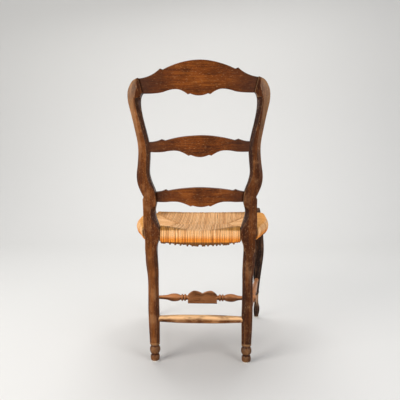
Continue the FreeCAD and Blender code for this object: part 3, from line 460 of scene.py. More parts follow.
def slat_shell(sizes, seed):
    """A slat skinned from end to end, bowed in plan and leaning with the posts."""
    top, bottom = slat_edges(sizes)
    reach = max(sizes["end"][0], sizes["shoulder"][0]) * MM + SLAT_HOUSING
    marks = [sizes[word][0] * MM for word in ("ear", "notch", "nick", "cusp")]
    close = [mark + shift for mark in marks for shift in (-0.8 * MM, 0, 0.8 * MM)]
    half = np.unique(np.concatenate([np.linspace(0, reach, 110), close]))
    across = np.concatenate([-half[:0:-1], half])
    across += CARVE_DRIFT * (1 - np.abs(across) / reach)
    carved = np.abs(across - CARVE_DRIFT)
    high = np.interp(carved, top[:, 1], top[:, 0]) + wander(across, SLAT_WAVER, seed)
    low = np.interp(carved, bottom[:, 1], bottom[:, 0]) + wander(across, SLAT_WAVER, seed + 1)
    span = sizes["end"][0] * MM
    bow = SLAT_BOW * (1 - (across / span) ** 2)
    slope = BACK_RAKE * RAKE_POWER * sizes["place"] ** (RAKE_POWER - 1) / BACK_HEIGHT
    tilt = Matrix.Rotation(-math.atan(slope), 3, "X")
    up = up_back(sizes["place"]) + (SLAT_BOW - SLAT_THICKNESS / 2) * slope
    base = Vector((0, back_centre(sizes["place"]), up))
    rings, grain = [], []
    edge, thick = 2.2 * MM, SLAT_THICKNESS / 2
    for x, z_high, z_low, y in zip(across, high, low, bow):
        section = carved_section(
            z_low, z_high, y - thick, y + thick, [(edge, edge, 0)] * 4, rounding=1.1 * MM)
        rings.append([base + tilt @ Vector((x, back, height)) for height, back in section])
        grain.append([(back, height, x) for height, back in section])
    return np.array(rings, float), np.array(grain, float)


def make_slats(wood):
    for seed, (node, sizes) in enumerate(SLATS.items()):
        make_wood(node, [slat_shell(sizes, 11 * seed)], wood)


# ------------------------ front legs

LEG_TOP = SEAT_TOP - 0.009
COLLAR_UP = 0.108        # the faint ring above the hoof
COLLAR = 1.6 * MM


def cabriole_up(share):
    return GLIDE_TOP + (SEAT_TOP - GLIDE_TOP) * share


def cabriole_edges(reach, cheek, hollow):
    """Outer and inner edges of a cabriole leg about its own line, as points of (across, up)."""
    outer = [(8, 0), (13, 0.04), (14, 0.09), (7, 0.14), (9.5, 0.25), (19, 0.43), (31, 0.62)]
    outer = [(8 + (across - 8) * reach, share) for across, share in outer] + [(cheek, 0.77)]
    inner = [(-9, 0), (-13, 0.06), (-8, 0.13), (-8, 0.2), (-15, 0.4), (-10, 0.62), (-hollow, 0.77)]
    edges = []
    for points, block in ((outer, BLOCK_HALF), (inner, -BLOCK_HALF)):
        shaped = edge_points((0, cabriole_up, points)) + [(block, cabriole_up(0.9))]
        edges.append(np.vstack([spline(shaped), [(block, LEG_TOP)]]))
    return edges


def front_leg_shell():
    """A cabriole leg: block, knee, ankle and small hoof, with softened arrises."""
    outer, inner = cabriole_edges(1, 26, 17)
    toe, heel = cabriole_edges(0.7, 22, 15)
    heights = np.linspace(GLIDE_TOP, LEG_TOP, 150)
    collar = COLLAR * np.exp(-((heights - COLLAR_UP) / (3.5 * MM)) ** 2)
    high = LEG_LINE + edge_at(outer, heights) + collar
    low = LEG_LINE + edge_at(inner, heights) - collar
    front_y = FRONT_LEG - edge_at(toe, heights) - collar
    rear_y = FRONT_LEG - edge_at(heel, heights) + collar
    soft = ramp(heights, [(0, 0.38), (0.10, 0.36), (0.3, 0.24), (0.37, 0.12), (0.40, 0.06), (0.45, 0.05)])
    sections = []
    for left, right, near, far, share in zip(low, high, front_y, rear_y, soft):
        cut = share * min(right - left, far - near)
        sections.append(carved_section(
            left, right, near, far, [(cut, cut, 0)] * 4, rounding=max(SOFTENING, cut * 0.9)))
    return stack(sections, heights, [(LEG_LINE, FRONT_LEG)] * len(heights))


def knob_shell():
    """The rounded top of a front leg, standing through the corner of the seat."""
    radius, low, neck, top = 0.012, SEAT_TOP - 0.012, SEAT_TOP - 0.001, SEAT_TOP + 0.017
    profile = smooth_profile([
        [(low, radius * 1.3), (neck, radius * 1.15)],
        [(neck, radius * 1.15), (top - 0.006, radius), (top - 0.001, radius * 0.8), (top, radius * 0.15)],
    ])
    return lathe(profile, 32, (LEG_LINE, FRONT_LEG, 0))


def make_front_legs(wood):
    for side, mirror in SIDES.items():
        make_wood(f"{side}_front_leg", [front_leg_shell(), knob_shell()], wood, mirror)


# ------------------------ stretchers

REAR_STRETCHER_UP = 0.1445
SIDE_STRETCHER_UP = 0.163
CROSS_PLACE = 0.4
SIDE_START = Vector((FOOT_LINE + 1.5 * MM, leg_centre(SIDE_STRETCHER_UP), SIDE_STRETCHER_UP))
SIDE_END = Vector((LEG_LINE + 1 * MM, FRONT_LEG, SIDE_STRETCHER_UP))
SIDE_LENGTH = (SIDE_END - SIDE_START).length


def rear_stretcher_shell():
    """A rod that swells towards its middle, worn by heels."""
    reach, end, middle = FOOT_LINE - 0.010, 10.5 * MM, 14 * MM
    profile = smooth_profile([
        [(-reach, end), (-reach / 2, middle), (reach / 2, middle), (reach, end)],
    ], 24)
    profile = [(along, radius + wander(along, HAND_WAVER, 31)) for along, radius in profile]
    base = (0, leg_centre(REAR_STRETCHER_UP), REAR_STRETCHER_UP)
    return lathe(profile, 36, base, (1, 0, 0), wobble=0.012)


def side_stretcher_shell():
    """Vases either side of the ball that takes the cross stretcher, with a ring by each."""
    ball_at = SIDE_LENGTH * CROSS_PLACE
    near, far = ball_at - 0.017, ball_at + 0.017
    start, finish = 0.006, SIDE_LENGTH - 0.004
    end, vase, ring, ball = 8.5 * MM, 12.5 * MM, 11.5 * MM, 14.5 * MM

    def back(share):
        return start + (near - start) * share

    def fore(share):
        return far + (finish - far) * share

    profile = smooth_profile([
        [(start, end), (back(0.3), end), (back(0.55), vase), (back(0.8), vase * 1.1),
         (back(0.88), end)],
        [(back(0.88), end), (back(0.9), ring * 1.15), (back(0.93), ring * 1.15), (back(0.95), end)],
        [(near, end), (ball_at - 0.014, ball * 1.25), (ball_at + 0.014, ball * 1.25), (far, end)],
        [(fore(0.02), end), (fore(0.03), ring * 1.15), (fore(0.05), ring * 1.15), (fore(0.06), end)],
        [(fore(0.07), end), (fore(0.15), vase * 1.1), (fore(0.4), vase), (fore(0.7), end),
         (finish, end)],
    ], 9)
    return lathe(profile, 32, SIDE_START, SIDE_END - SIDE_START, wobble=0.008)


CROSS_BASE = SIDE_START.lerp(SIDE_END, CROSS_PLACE)
BLOCK_HALF_LENGTH = 0.053


def cross_arm_shell(sign):
    """One turned arm of the cross stretcher: neck, two rings, vase and taper."""
    tip = CROSS_BASE.x - 0.008
    neck, ring, vase, taper = 8.5 * MM, 10.5 * MM, 13 * MM, 6.5 * MM

    def out(distance):
        return BLOCK_HALF_LENGTH + distance * MM

    stretches = [[(out(-4), neck), (out(7), neck)]]
    for start in (7, 17):
        stretches.append([
            (out(start), neck), (out(start + 1), ring * 1.15), (out(start + 4), ring * 1.2),
            (out(start + 7), ring * 1.15), (out(start + 8), neck)])
    stretches.append([
        (out(27), neck), (out(35), vase * 1.05), (out(60), vase * 1.15), (out(80), taper),
        (tip, taper)])
    base = (0, CROSS_BASE.y, CROSS_BASE.z)
    return lathe(smooth_profile(stretches, 8), 32, base, (sign, 0, 0), wobble=0.006)


def cross_block_shell():
    """The block in the middle of the cross stretcher, its sloping top cut to two humps."""
    half, low, shoulder, depth = BLOCK_HALF_LENGTH, -19 * MM, 2 * MM, 12 * MM
    across = np.linspace(-half, half, 61)
    hump = spline([(16 * MM, 0), (25 * MM, 0.3 * half), (26 * MM, 0.75 * half), (11 * MM, half)])
    tops = edge_at(hump, np.abs(across))
    rings, grain = [], []
    for x, top in zip(across, tops):
        foot = carved_section(low, top, -depth, depth, [(1.6 * MM, 1.6 * MM, 0)] * 4)
        rise = np.clip((foot[:, 0] - shoulder) / (top - shoulder), 0, 1)
        back = foot[:, 1] * (1 - 0.66 * rise ** 0.85)
        rings.append([(x, CROSS_BASE.y + y, CROSS_BASE.z + z) for y, z in zip(back, foot[:, 0])])
        grain.append([(y, z, x) for y, z in zip(back, foot[:, 0])])
    return np.array(rings, float), np.array(grain, float)


def make_stretchers(wood, rear_wood):
    make_wood("rear_stretcher", [rear_stretcher_shell()], rear_wood)
    for side, mirror in SIDES.items():
        make_wood(f"{side}_side_stretcher", [side_stretcher_shell()], wood, mirror)
    make_wood("cross_stretcher", [cross_arm_shell(1), cross_arm_shell(-1), cross_block_shell()], wood)


# ------------------------ woven rush seat

STRAND_PITCH = 5.6 * MM
STRAND_RADIUS = 3.05 * MM
EDGE_RADIUS = 0.013
BAND_TOP = SEAT_TOP - STRAND_RADIUS
BAND_BOTTOM = 0.401
REAR_EDGE = REAR + 0.015
MITRE_Y = down_seat(0.5)
MITRE_X = 0.089
FRONT_CORNER = (LEG_LINE - BLOCK_HALF, FRONT_LEG + BLOCK_HALF)
REAR_CORNER = (POST_LINE - 0.036, REAR - 0.019)
SAG = 0.017              # how far the middle of the top has sunk
SAG_REACH = (0.205, 0.19)     # how far the hollow reaches sideways, and to the front and rear
SAG_POWER = 2.6          # the higher, the flatter the hollow's floor
REAR_DIP = 0.006         # how far the top of the rear roll hangs in the middle
REAR_HANG = 0.0105       # how far its bottom hangs there
REAR_RISE = 0.010        # how far the rear roll swells up beside the posts
SIDE_RADIUS = 0.015
TUBE_SIDES = 8
FLATTENED = 0.9          # a strand's height for its width
STRAY = 0.00045          # how far a strand wanders sideways
EDGE_GAP = STRAND_PITCH * 0.4     # between a section's corner and its outermost strand
FRONT_HANG = 0.003
SIDE_HANG = 0.002
TOP_STEP = 0.011         # between the points of a strand's path on top of the seat
TURN_STEPS = 6
MITRE_DIVE = 0.006       # how far a strand dives where it starts at the mitre
MITRE_WIDTH = 0.009
UNDER_MITRE_WIDTH = 0.02
UNDER_RISE = 0.003       # how far the underside rises towards its middle
FACE_BULGE = 0.0012      # how far a strand stands out between the roll's two turns
DROOP = 0.0015
LOOSE_SHARE = 0.4        # the share of strands that hang loose underneath
LOOSE_DROOP = 0.0045
SIDE_SPREAD = {"left": 0.002, "right": -0.002}   # the old seat has slumped to the left


def side_edge():
    """The curved side of the seat in plan, as points of (across, back)."""
    return spline([
        (POST_LINE + 0.020, down_seat(0.0)), (POST_LINE + 0.040, down_seat(0.2)),
        (SEAT_SIDE - 0.004, down_seat(0.45)), (SEAT_SIDE + 0.001, down_seat(0.75)),
        (SEAT_SIDE, down_seat(1.0)),
    ])


SIDE_EDGE = side_edge()


def seat_surface(x, y):
    """Height of the top of the weave: level at the rails and sagging to the middle."""
    out = (x / SAG_REACH[0], (y - down_seat(0.52)) / SAG_REACH[1])
    return BAND_TOP - SAG * math.prod(1 - min(1.0, abs(share)) ** SAG_POWER for share in out)


def rear_drops(x):
    """How far the rear edge hangs at a place along it, at its top and at its bottom."""
    out = min(1.0, (x / REAR_CORNER[0]) ** 2)
    return REAR_DIP * (1 - out) - REAR_RISE * out, REAR_HANG * (1 - out)


def mitre_x(y):
    """How far out the mitre line stands at a depth on the seat."""
    corner = REAR_CORNER if y > MITRE_Y else FRONT_CORNER
    share = (y - MITRE_Y) / (corner[1] - MITRE_Y)
    return MITRE_X + (corner[0] - MITRE_X) * min(1.0, max(0.0, share))


def mitre_y(x, corner):
    """How far along the mitre line stands at a place across the seat."""
    share = (abs(x) - MITRE_X) / (corner[0] - MITRE_X)
    return MITRE_Y + (corner[1] - MITRE_Y) * min(1.0, max(0.0, share))


def wrap_path(start, edge, drops, radius, chance):
    """One strand: out from the mitre, over the rail, down its face and back underneath.

    start and edge are places in plan; drops are how much lower than level the strand
    passes over and under the rail; radius is that of the roll's two turns.
    """
    start, edge = Vector((*start, 0)), Vector((*edge, 0))
    way = (edge - start).normalized()
    flat = (edge - start).length - radius
    drop, sink = drops
    points = []
    count = max(4, int(flat / TOP_STEP))
    droop = chance.uniform(0, DROOP) + (LOOSE_DROOP if chance.random() < LOOSE_SHARE else 0)
    for step in range(count + 1):
        share = step / count
        place = start + way * flat * share
        dive = MITRE_DIVE * max(0.0, 1 - share * flat / MITRE_WIDTH) ** 2
        lower = drop * min(1.0, share * 1.25) ** 2
        points.append((*place.xy, seat_surface(place.x, place.y) - dive - lower))
    top = seat_surface(*(start + way * flat).xy) - drop
    bottom = BAND_BOTTOM + STRAND_RADIUS - sink
    centre = start + way * flat
    for step in range(1, TURN_STEPS + 1):
        angle = math.pi / 2 * step / TURN_STEPS
        place = centre + way * radius * math.sin(angle)
        points.append((*place.xy, top - radius * (1 - math.cos(angle))))
    for share in (0.33, 0.67):
        height = (top - radius) * (1 - share) + (bottom + radius) * share
        bulge = FACE_BULGE * math.sin(math.pi * share)
        points.append((*(edge + way * bulge).xy, height))
    for step in range(TURN_STEPS + 1):
        angle = math.pi / 2 * step / TURN_STEPS
        place = centre + way * radius * math.cos(angle)
        sunk = droop * step / TURN_STEPS
        points.append((*place.xy, bottom + radius * (1 - math.sin(angle)) - sunk))
    under = max(3, int(flat / (2 * TOP_STEP)))
    for step in range(1, under + 1):
        share = 1 - step / under
        place = start + way * flat * share
        rise = MITRE_DIVE * max(0.0, 1 - share * flat / UNDER_MITRE_WIDTH) ** 2
        sway = droop * math.sin(math.pi * min(1, share * 1.3)) * 0.6
        points.append((*place.xy, bottom + rise - sway + UNDER_RISE * (1 - share)))
    return points


def strand_tube(points, side_way, radius, chance):
    """Rings of a strand's tube along its path, flattened a little and slightly uneven."""
    path = np.array(points)
    waver = [chance.uniform(-1, 1) for _ in range(4)]
    steps = np.linspace(0, 1, len(path))
    shift = STRAY * (waver[0] * np.sin(steps * 9 + waver[1] * 3) + waver[2] * np.sin(steps * 23))
    path = path + np.outer(shift, side_way)
    tangents = np.gradient(path, axis=0)
    tangents /= np.linalg.norm(tangents, axis=1)[:, None]
    normals = np.cross(tangents, side_way)
    normals /= np.linalg.norm(normals, axis=1)[:, None]
    lengths = np.concatenate([[0], np.cumsum(np.linalg.norm(np.diff(path, axis=0), axis=1))])
    thick = radius * (1 + 0.05 * np.sin(steps * 31 + waver[3] * 5))
    rings, twist = [], []
    for index, centre in enumerate(path):
        ring, around = [], []
        for step in range(TUBE_SIDES):
            angle = math.tau * step / TUBE_SIDES
            wide = thick[index] * math.cos(angle)
            tall = thick[index] * FLATTENED * math.sin(angle)
            ring.append(centre + np.array(side_way) * wide + normals[index] * tall)
            # The last value is 1 at a strand's sides, where the material paints shade in the grooves.
            around.append((lengths[index], step / TUBE_SIDES, abs(math.cos(angle))))
        rings.append(ring)
        twist.append(around)
    return np.array(rings), np.array(twist)


def panel_strands(name):
    """The (start, edge, drops) of every strand of one woven section, and the way they lie."""
    strands = []
    if name in ("front", "rear"):
        corner = FRONT_CORNER if name == "front" else REAR_CORNER
        edge_y = SEAT_FRONT + 0.001 if name == "front" else REAR_EDGE
        half = corner[0] - EDGE_GAP
        count = int(2 * half / STRAND_PITCH)
        for index in range(count + 1):
            x = -half + 2 * half * index / count
            hang = FRONT_HANG * (1 - (x / half) ** 2)
            drops = rear_drops(x) if name == "rear" else (hang, hang)
            strands.append(((x, mitre_y(x, corner)), (x, edge_y), drops))
        return strands, (1, 0, 0)
    sign = 1 if name == "left" else -1
    low, high = FRONT_CORNER[1] + EDGE_GAP, REAR_CORNER[1] - EDGE_GAP
    count = int((high - low) / STRAND_PITCH)
    for index in range(count + 1):
        y = low + (high - low) * index / count
        edge_x = float(edge_at(SIDE_EDGE, [y])[0]) + SIDE_SPREAD[name]
        share = index / count
        hang = SIDE_HANG * math.sin(math.pi * share)
        drops = (hang - REAR_RISE * max(0.0, share * 2 - 1) ** 2, hang - 0.003 * share)
        strands.append(((sign * mitre_x(y), y), (sign * edge_x, y), drops))
    return strands, (0, 1, 0)


def make_rush(material):
    for panel in ("front", "rear", "left", "right"):
        chance = random.Random(f"rush {panel}")
        strands, side_way = panel_strands(panel)
        vertices, faces, twists, tones = [], [], [], []
        radius = EDGE_RADIUS if panel in ("front", "rear") else SIDE_RADIUS
        for start, edge, drops in strands:
            path = wrap_path(start, edge, drops, radius, chance)
            rings, twist = strand_tube(
                path, side_way, STRAND_RADIUS * chance.uniform(0.93, 1.07), chance)
            points, quads = skin(rings, len(vertices))
            vertices += points
            faces += quads
            twists += twist.reshape(-1, 3).tolist() + [twist[0, 0], twist[-1, 0]]
            tones += [chance.random()] * len(points)
        piece = mesh_piece(f"rush_{panel}_strands", vertices, faces, twists, material)
        tone = piece.data.attributes.new("tone", "FLOAT", "POINT")
        tone.data.foreach_set("value", tones)
        place_piece(piece, f"rush_{panel}_panel")


# ------------------------ materials

class Nodes:
    """Short calls for building one material's node tree."""

    def __init__(self, name):
        self.material = bpy.data.materials.new(name)
        self.material.use_nodes = True
        self.tree = self.material.node_tree
        self.shader = self.tree.nodes["Principled BSDF"]

    def put(self, node, socket, value):
        target = node.inputs[socket]
        if isinstance(value, bpy.types.NodeSocket):
            self.tree.links.new(value, target)
        else:
            target.default_value = value

    def add(self, kind, values=None, **settings):
        node = self.tree.nodes.new(f"ShaderNode{kind}")
        for key, setting in settings.items():
            setattr(node, key, setting)
        for socket, value in (values or {}).items():
            self.put(node, socket, value)
        return node

    def attribute(self, name, output="Vector"):
        return self.add("Attribute", attribute_name=name).outputs[output]

    def split(self, vector):
        """The three parts of a vector."""
        return self.add("SeparateXYZ", {"Vector": vector}).outputs

    def noise(self, vector, scale, detail=4, roughness=0.6, distortion=0.0):
        """Noise at one scale, or at a scale for each axis."""
        if isinstance(scale, tuple):
            vector = self.add("Mapping", {"Vector": vector, "Scale": scale}).outputs["Vector"]
            scale = 1.0
        node = self.add("TexNoise", {
            "Vector": vector, "Scale": scale, "Detail": detail, "Roughness": roughness,
            "Distortion": distortion})
        return node.outputs["Fac"]

    def ramp(self, factor, stops):
        """Greys or colours between stops of (position, grey or colour)."""
        node = self.add("ValToRGB", {"Fac": factor})
        elements = node.color_ramp.elements
        while len(elements) < len(stops):
            elements.new(0.5)
        for element, (position, color) in zip(elements, stops):
            element.position = position
            element.color = (*color, 1) if isinstance(color, tuple) else (color, color, color, 1)
        return node.outputs["Color"]

    def rise(self, factor, start, end):
        """From 0 to 1 between two values of the factor."""
        return self.ramp(factor, [(start, 0.0), (end, 1.0)])

    def fall(self, factor, start, end):
        return self.ramp(factor, [(start, 1.0), (end, 0.0)])

    def mix(self, factor, first, second, blend="MIX"):
        node = self.add("Mix", data_type="RGBA", blend_type=blend)
        self.put(node, 0, factor)
        for socket, color in ((6, first), (7, second)):
            self.put(node, socket, color if isinstance(color, bpy.types.NodeSocket) else (*color, 1))
        return node.outputs[2]

    def math(self, operation, first, second=0.0):
        return self.add("Math", {0: first, 1: second}, operation=operation).outputs[0]

    def times(self, first, *others):
        for other in others:
            first = self.math("MULTIPLY", first, other)
        return first

    def bump(self, height, strength, distance, under=None):
        """A bump, on top of another bump if one is given."""
        values = {"Height": height, "Strength": strength, "Distance": distance}
        if under is not None:
            values["Normal"] = under
        return self.add("Bump", values).outputs["Normal"]

    def finish(self, sockets):
        """Set the shader's sockets and give back the material."""
        for socket, value in sockets.items():
            self.put(self.shader, socket, value)
        return self.material


# How quickly each kind of figure changes: twice across the grain, then along it.
BROAD_GRAIN = (34, 34, 5)
STREAKS = (260, 260, 9)
PORES = (900, 900, 30)
FLECKS = (520, 520, 150)
SCUFFS = (330, 330, 120)
SCRAPES = (60, 60, 14)
RAGGED_WEAR = (70, 70, 25)
PATCHES = 21.0
DENTS = 60.0

# How far each kind of wear, dirt, darkening, painted shade and painted sheen goes, from none at 0 to all
# at 1.
PORE_DEPTH = 0.55
SMUDGES = 0.6
FLECKED = 0.75
EDGE_WEAR = 0.5
HOLLOW_DARKENING = 0.6
CORNER_SHADE = 0.75
INNER_SHADE = 0.7        # painted shade on faces turned towards the chair's middle
HEAD_SHEEN = 0.6          # painted sheen on the outsides of the post heads
EDGE_PALENESS = 0.55     # how far a rubbed edge goes from the light tone to the worn one
CORNER_REACH = 0.005     # how near another surface has to be for the painted shade in corners


def wood_figure(nodes, place, dark, middle, light):
    """Grain, open pores, smudges and light flecks, with the noises that other steps use again."""
    broad = nodes.noise(place, BROAD_GRAIN, 5, 0.6, 0.6)
    streak = nodes.noise(place, STREAKS, 4, 0.6, 0.25)
    fine = nodes.noise(place, PORES, 3, 0.5)
    patch = nodes.noise(place, PATCHES)
    tone = nodes.math("ADD", nodes.times(broad, 0.6), nodes.times(streak, 0.4))
    color = nodes.ramp(tone, [(0.34, dark), (0.5, middle), (0.66, light)])
    pores = nodes.ramp(fine, [(0.36, 0.35), (0.46, 1.0)])
    color = nodes.mix(PORE_DEPTH, color, pores, "MULTIPLY")
    smudge = nodes.ramp(patch, [(0.38, 0.5), (0.62, 1.15)])
    color = nodes.mix(SMUDGES, color, smudge, "MULTIPLY")
    fleck = nodes.rise(nodes.noise(place, FLECKS, 4, 0.7), 0.50, 0.66)
    return nodes.mix(nodes.times(fleck, patch, FLECKED), color, light), tone, streak, fine, patch


def edges_and_corners(nodes, color, edge, dark, patch):
    """Rubbed arrises, darker hollows, and painted shade in the corners between pieces."""
    uneven = nodes.times(nodes.math("SUBTRACT", patch, 0.5), 0.09)
    pointed = nodes.math("ADD", nodes.add("NewGeometry").outputs["Pointiness"], uneven)
    rubbed = nodes.rise(pointed, 0.51, 0.545)
    color = nodes.mix(nodes.times(rubbed, EDGE_WEAR), color, edge)
    # Darker in the hollows, found by pointiness.
    hollow_dark = nodes.fall(pointed, 0.44, 0.49)
    color = nodes.mix(nodes.times(hollow_dark, HOLLOW_DARKENING), color, dark)
    # Painted shade: darker where another surface is near, found by ambient occlusion.
    shut_in = nodes.add("AmbientOcclusion", {"Distance": CORNER_REACH}, samples=8)
    corner = nodes.fall(shut_in.outputs["AO"], 0.3, 0.7)
    return nodes.mix(nodes.times(corner, CORNER_SHADE), color, dark)


def inner_and_outer_faces(nodes, color, edge, dark, tone, facing, where):
    """Painted shade on faces towards the chair's middle, and a painted sheen on the outsides of the
    heads.
    """
    side = nodes.math("SIGN", where[0])
    inward = nodes.times(facing[0], nodes.times(side, -1.0))
    # Painted shade: faces turned inward, above the seat, go darker.
    shaded_inner_face = nodes.rise(inward, 0.2, 0.65)
    above_seat = nodes.ramp(where[2], [(0.36, 0.45), (0.48, 1.0)])
    color = nodes.mix(nodes.times(shaded_inner_face, above_seat, INNER_SHADE), color, dark)
    # Painted sheen: outward faces of the post heads go paler.
    sheen_face = nodes.rise(nodes.times(facing[0], side), 0.12, 0.5)
    high = nodes.rise(where[2], 0.62, 0.86)
    uneven = nodes.ramp(tone, [(0.36, 0.45), (0.62, 1.1)])
    return nodes.mix(nodes.times(sheen_face, high, uneven, HEAD_SHEEN), color, edge)


def worn_and_highlit_tops(nodes, place, facing):
    """The upper side of a bar made paler: wear from feet and cloth, and a painted highlight where light
    falls from above.
    """
    scrape = nodes.rise(nodes.noise(place, SCRAPES, 4, 0.65), 0.30, 0.50)
    return nodes.times(nodes.rise(facing[2], 0.0, 0.55), scrape)


def scraped_ankles(nodes, place, where):
    """Where shoes have worn a leg, in a ragged band above the foot."""
    ragged = nodes.noise(place, RAGGED_WEAR, 4, 0.65)
    level = nodes.times(nodes.math("ADD", where[2], nodes.times(ragged, 0.06)), 5.0)
    above = nodes.rise(level, 0.40, 0.47)
    below = nodes.fall(level, 0.66, 0.71)
    return nodes.times(above, below, nodes.rise(ragged, 0.34, 0.52))


def wood_material(name, tones, specks, gloss=0.36, top_wear_and_highlight=0.0, ankle_wear=0.0, end_shade=0.0):
    """Old waxed hardwood in four tones: dark, middle, light and worn."""
    dark, middle, light, worn = tones
    edge = tuple((1 - EDGE_PALENESS) * a + EDGE_PALENESS * b for a, b in zip(light, worn))
    nodes = Nodes(name)
    offset = nodes.add("ObjectInfo").outputs["Random"]
    shift = nodes.add("CombineXYZ", {"X": offset, "Y": offset, "Z": offset}).outputs[0]
    values = {0: nodes.attribute("grain"), 1: shift}
    place = nodes.add("VectorMath", values, operation="ADD").outputs[0]
    geometry = nodes.add("NewGeometry").outputs
    facing, where = nodes.split(geometry["Normal"]), nodes.split(geometry["Position"])
    color, tone, streak, fine, patch = wood_figure(nodes, place, dark, middle, light)
    color = edges_and_corners(nodes, color, edge, dark, patch)
    color = inner_and_outer_faces(nodes, color, edge, dark, tone, facing, where)
    scuffed = nodes.rise(nodes.noise(place, SCUFFS, 3, 0.7), 0.59, 0.66)
    color = nodes.mix(nodes.times(scuffed, specks), color, worn)
    if end_shade:
        wide = nodes.times(nodes.math("ABSOLUTE", where[0]), 4.0)
        ends = nodes.rise(wide, 0.22, 0.62)
        color = nodes.mix(nodes.times(ends, end_shade), color, dark)
    # Paler tops: partly wear, partly a painted highlight from above.
    if top_wear_and_highlight:
        color = nodes.mix(nodes.times(worn_and_highlit_tops(nodes, place, facing), top_wear_and_highlight), color, worn)
    if ankle_wear:
        color = nodes.mix(nodes.times(scraped_ankles(nodes, place, where), ankle_wear), color, worn)
    normal = nodes.bump(nodes.noise(place, DENTS, 3, 0.5), 0.25, 0.0012)
    normal = nodes.bump(streak, 0.28, 0.0006, normal)
    return nodes.finish({
        "Base Color": color, "Roughness": nodes.ramp(patch, [(0.35, gloss), (0.7, gloss + 0.17)]),
        "Specular IOR Level": 0.1, "Coat Weight": 0.07, "Coat Roughness": 0.2,
        "Normal": nodes.bump(fine, 0.35, 0.00035, normal)})


# Rush tones from its darkest strand to its palest.
RUSH_TOP = ((0.23, 0.095, 0.016), (0.41, 0.18, 0.034), (0.53, 0.26, 0.066))
RUSH_ROLL = ((0.66, 0.31, 0.11), (0.82, 0.43, 0.17), (0.94, 0.56, 0.27))
RUSH_BAND = ((0.54, 0.15, 0.012), (0.74, 0.225, 0.020), (0.90, 0.32, 0.04))
RUSH_LOBE = (0.78, 0.34, 0.075)      # the less worn top beside the legs
RUSH_UNDER_SHADE = (0.10, 0.045, 0.016)
RUSH_DEPTH = 0.051                   # from the top of the weave to its underside


def rush_color(nodes, place, tone):
    """Brown on top, pale over the roll, golden down the band and painted shade underneath."""
    shade = nodes.math("ADD", nodes.times(tone, 0.6), nodes.times(nodes.noise(place, 24.0), 0.5))
    top, roll, band = (
        nodes.ramp(shade, list(zip((0.2, 0.5, 0.85), tones)))
        for tones in (RUSH_TOP, RUSH_ROLL, RUSH_BAND))
    where = nodes.split(place)
    lobe = nodes.rise(nodes.times(nodes.math("ABSOLUTE", where[0]), 4.0), 0.68, 0.9)
    top = nodes.mix(nodes.times(lobe, 0.8), top, RUSH_LOBE)
    down = nodes.times(nodes.math("SUBTRACT", SEAT_TOP, where[2]), 1 / RUSH_DEPTH)
    color = nodes.mix(nodes.rise(down, 0.05, 0.14), top, roll)
    color = nodes.mix(nodes.rise(down, 0.40, 0.66), color, band)
    # Painted shade under the seat.
    under = nodes.rise(down, 0.82, 0.90)
    return nodes.mix(nodes.times(under, 0.85), color, RUSH_UNDER_SHADE)


def rush_material():
    """Twisted dry rush: each strand its own tone, spiral fibres, and painted shade in the grooves between
    strands.
    """
    nodes = Nodes("woven_rush")
    along, around, crown = nodes.split(nodes.attribute("grain"))
    place = nodes.add("TexCoord").outputs["Object"]
    turns = nodes.math("ADD", nodes.times(along, 150.0), nodes.times(around, 2.0))
    spiral = nodes.math("ABSOLUTE", nodes.math("SINE", nodes.times(turns, math.pi)))
    fleck = nodes.noise(place, (300, 300, 300), 3)
    color = rush_color(nodes, place, nodes.attribute("tone", "Fac"))
    # Painted shade on the sides of each strand, where it meets its neighbours.
    color = nodes.mix(0.8, color, nodes.ramp(crown, [(0.6, 1.0), (0.98, 0.25)]), "MULTIPLY")
    color = nodes.mix(0.55, color, nodes.ramp(spiral, [(0.0, 0.55), (0.35, 1.0)]), "MULTIPLY")
    color = nodes.mix(0.35, color, nodes.ramp(fleck, [(0.35, 0.6), (0.6, 1.15)]), "MULTIPLY")
    return nodes.finish({
        "Base Color": color, "Roughness": nodes.ramp(fleck, [(0.3, 0.62), (0.7, 0.82)]),
        "Specular IOR Level": 0.2,
        "Normal": nodes.bump(fleck, 0.3, 0.0004, nodes.bump(spiral, 0.55, 0.0009))})


def raw_material(name, base, accent, scale, roughness):
    """A plain dry surface for pieces hidden in the seat and for the glides."""
    nodes = Nodes(name)
    place = nodes.add("TexCoord").outputs["Object"]
    fine = nodes.noise(place, scale * 9, 3)
    color = nodes.ramp(nodes.noise(place, scale), [(0.35, base), (0.65, accent)])
    return nodes.finish({
        "Base Color": nodes.mix(0.4, color, nodes.ramp(fine, [(0.35, 0.7), (0.6, 1.05)]), "MULTIPLY"),
        "Roughness": nodes.ramp(fine, [(0.3, roughness), (0.7, roughness + 0.15)]),
        "Normal": nodes.bump(fine, 0.4, 0.0004)})


def dress_carried_nodes():
    """Give the nodes that are shown as they come their materials."""
    rail_wood = raw_material("raw_rail_wood", (0.30, 0.17, 0.08), (0.42, 0.27, 0.14), 30.0, 0.7)
    stuffing = raw_material("dry_stuffing", (0.28, 0.17, 0.07), (0.45, 0.30, 0.14), 90.0, 0.85)
    plastic = raw_material("glide_plastic", (0.62, 0.58, 0.50), (0.78, 0.75, 0.68), 120.0, 0.45)
    looks = {f"{side}_seat_rail": rail_wood for side in ("front", "rear", "left", "right")}
    looks |= {f"{side}_{end}_glide": plastic for side in SIDES for end in ("rear", "front")}
    looks["seat_stuffing"] = stuffing
    for node, material in looks.items():
        piece = bpy.data.objects[node]
        for slot in piece.material_slots:
            slot.material = material
        if not piece.material_slots:
            piece.data.materials.append(material)


# ------------------------ studio

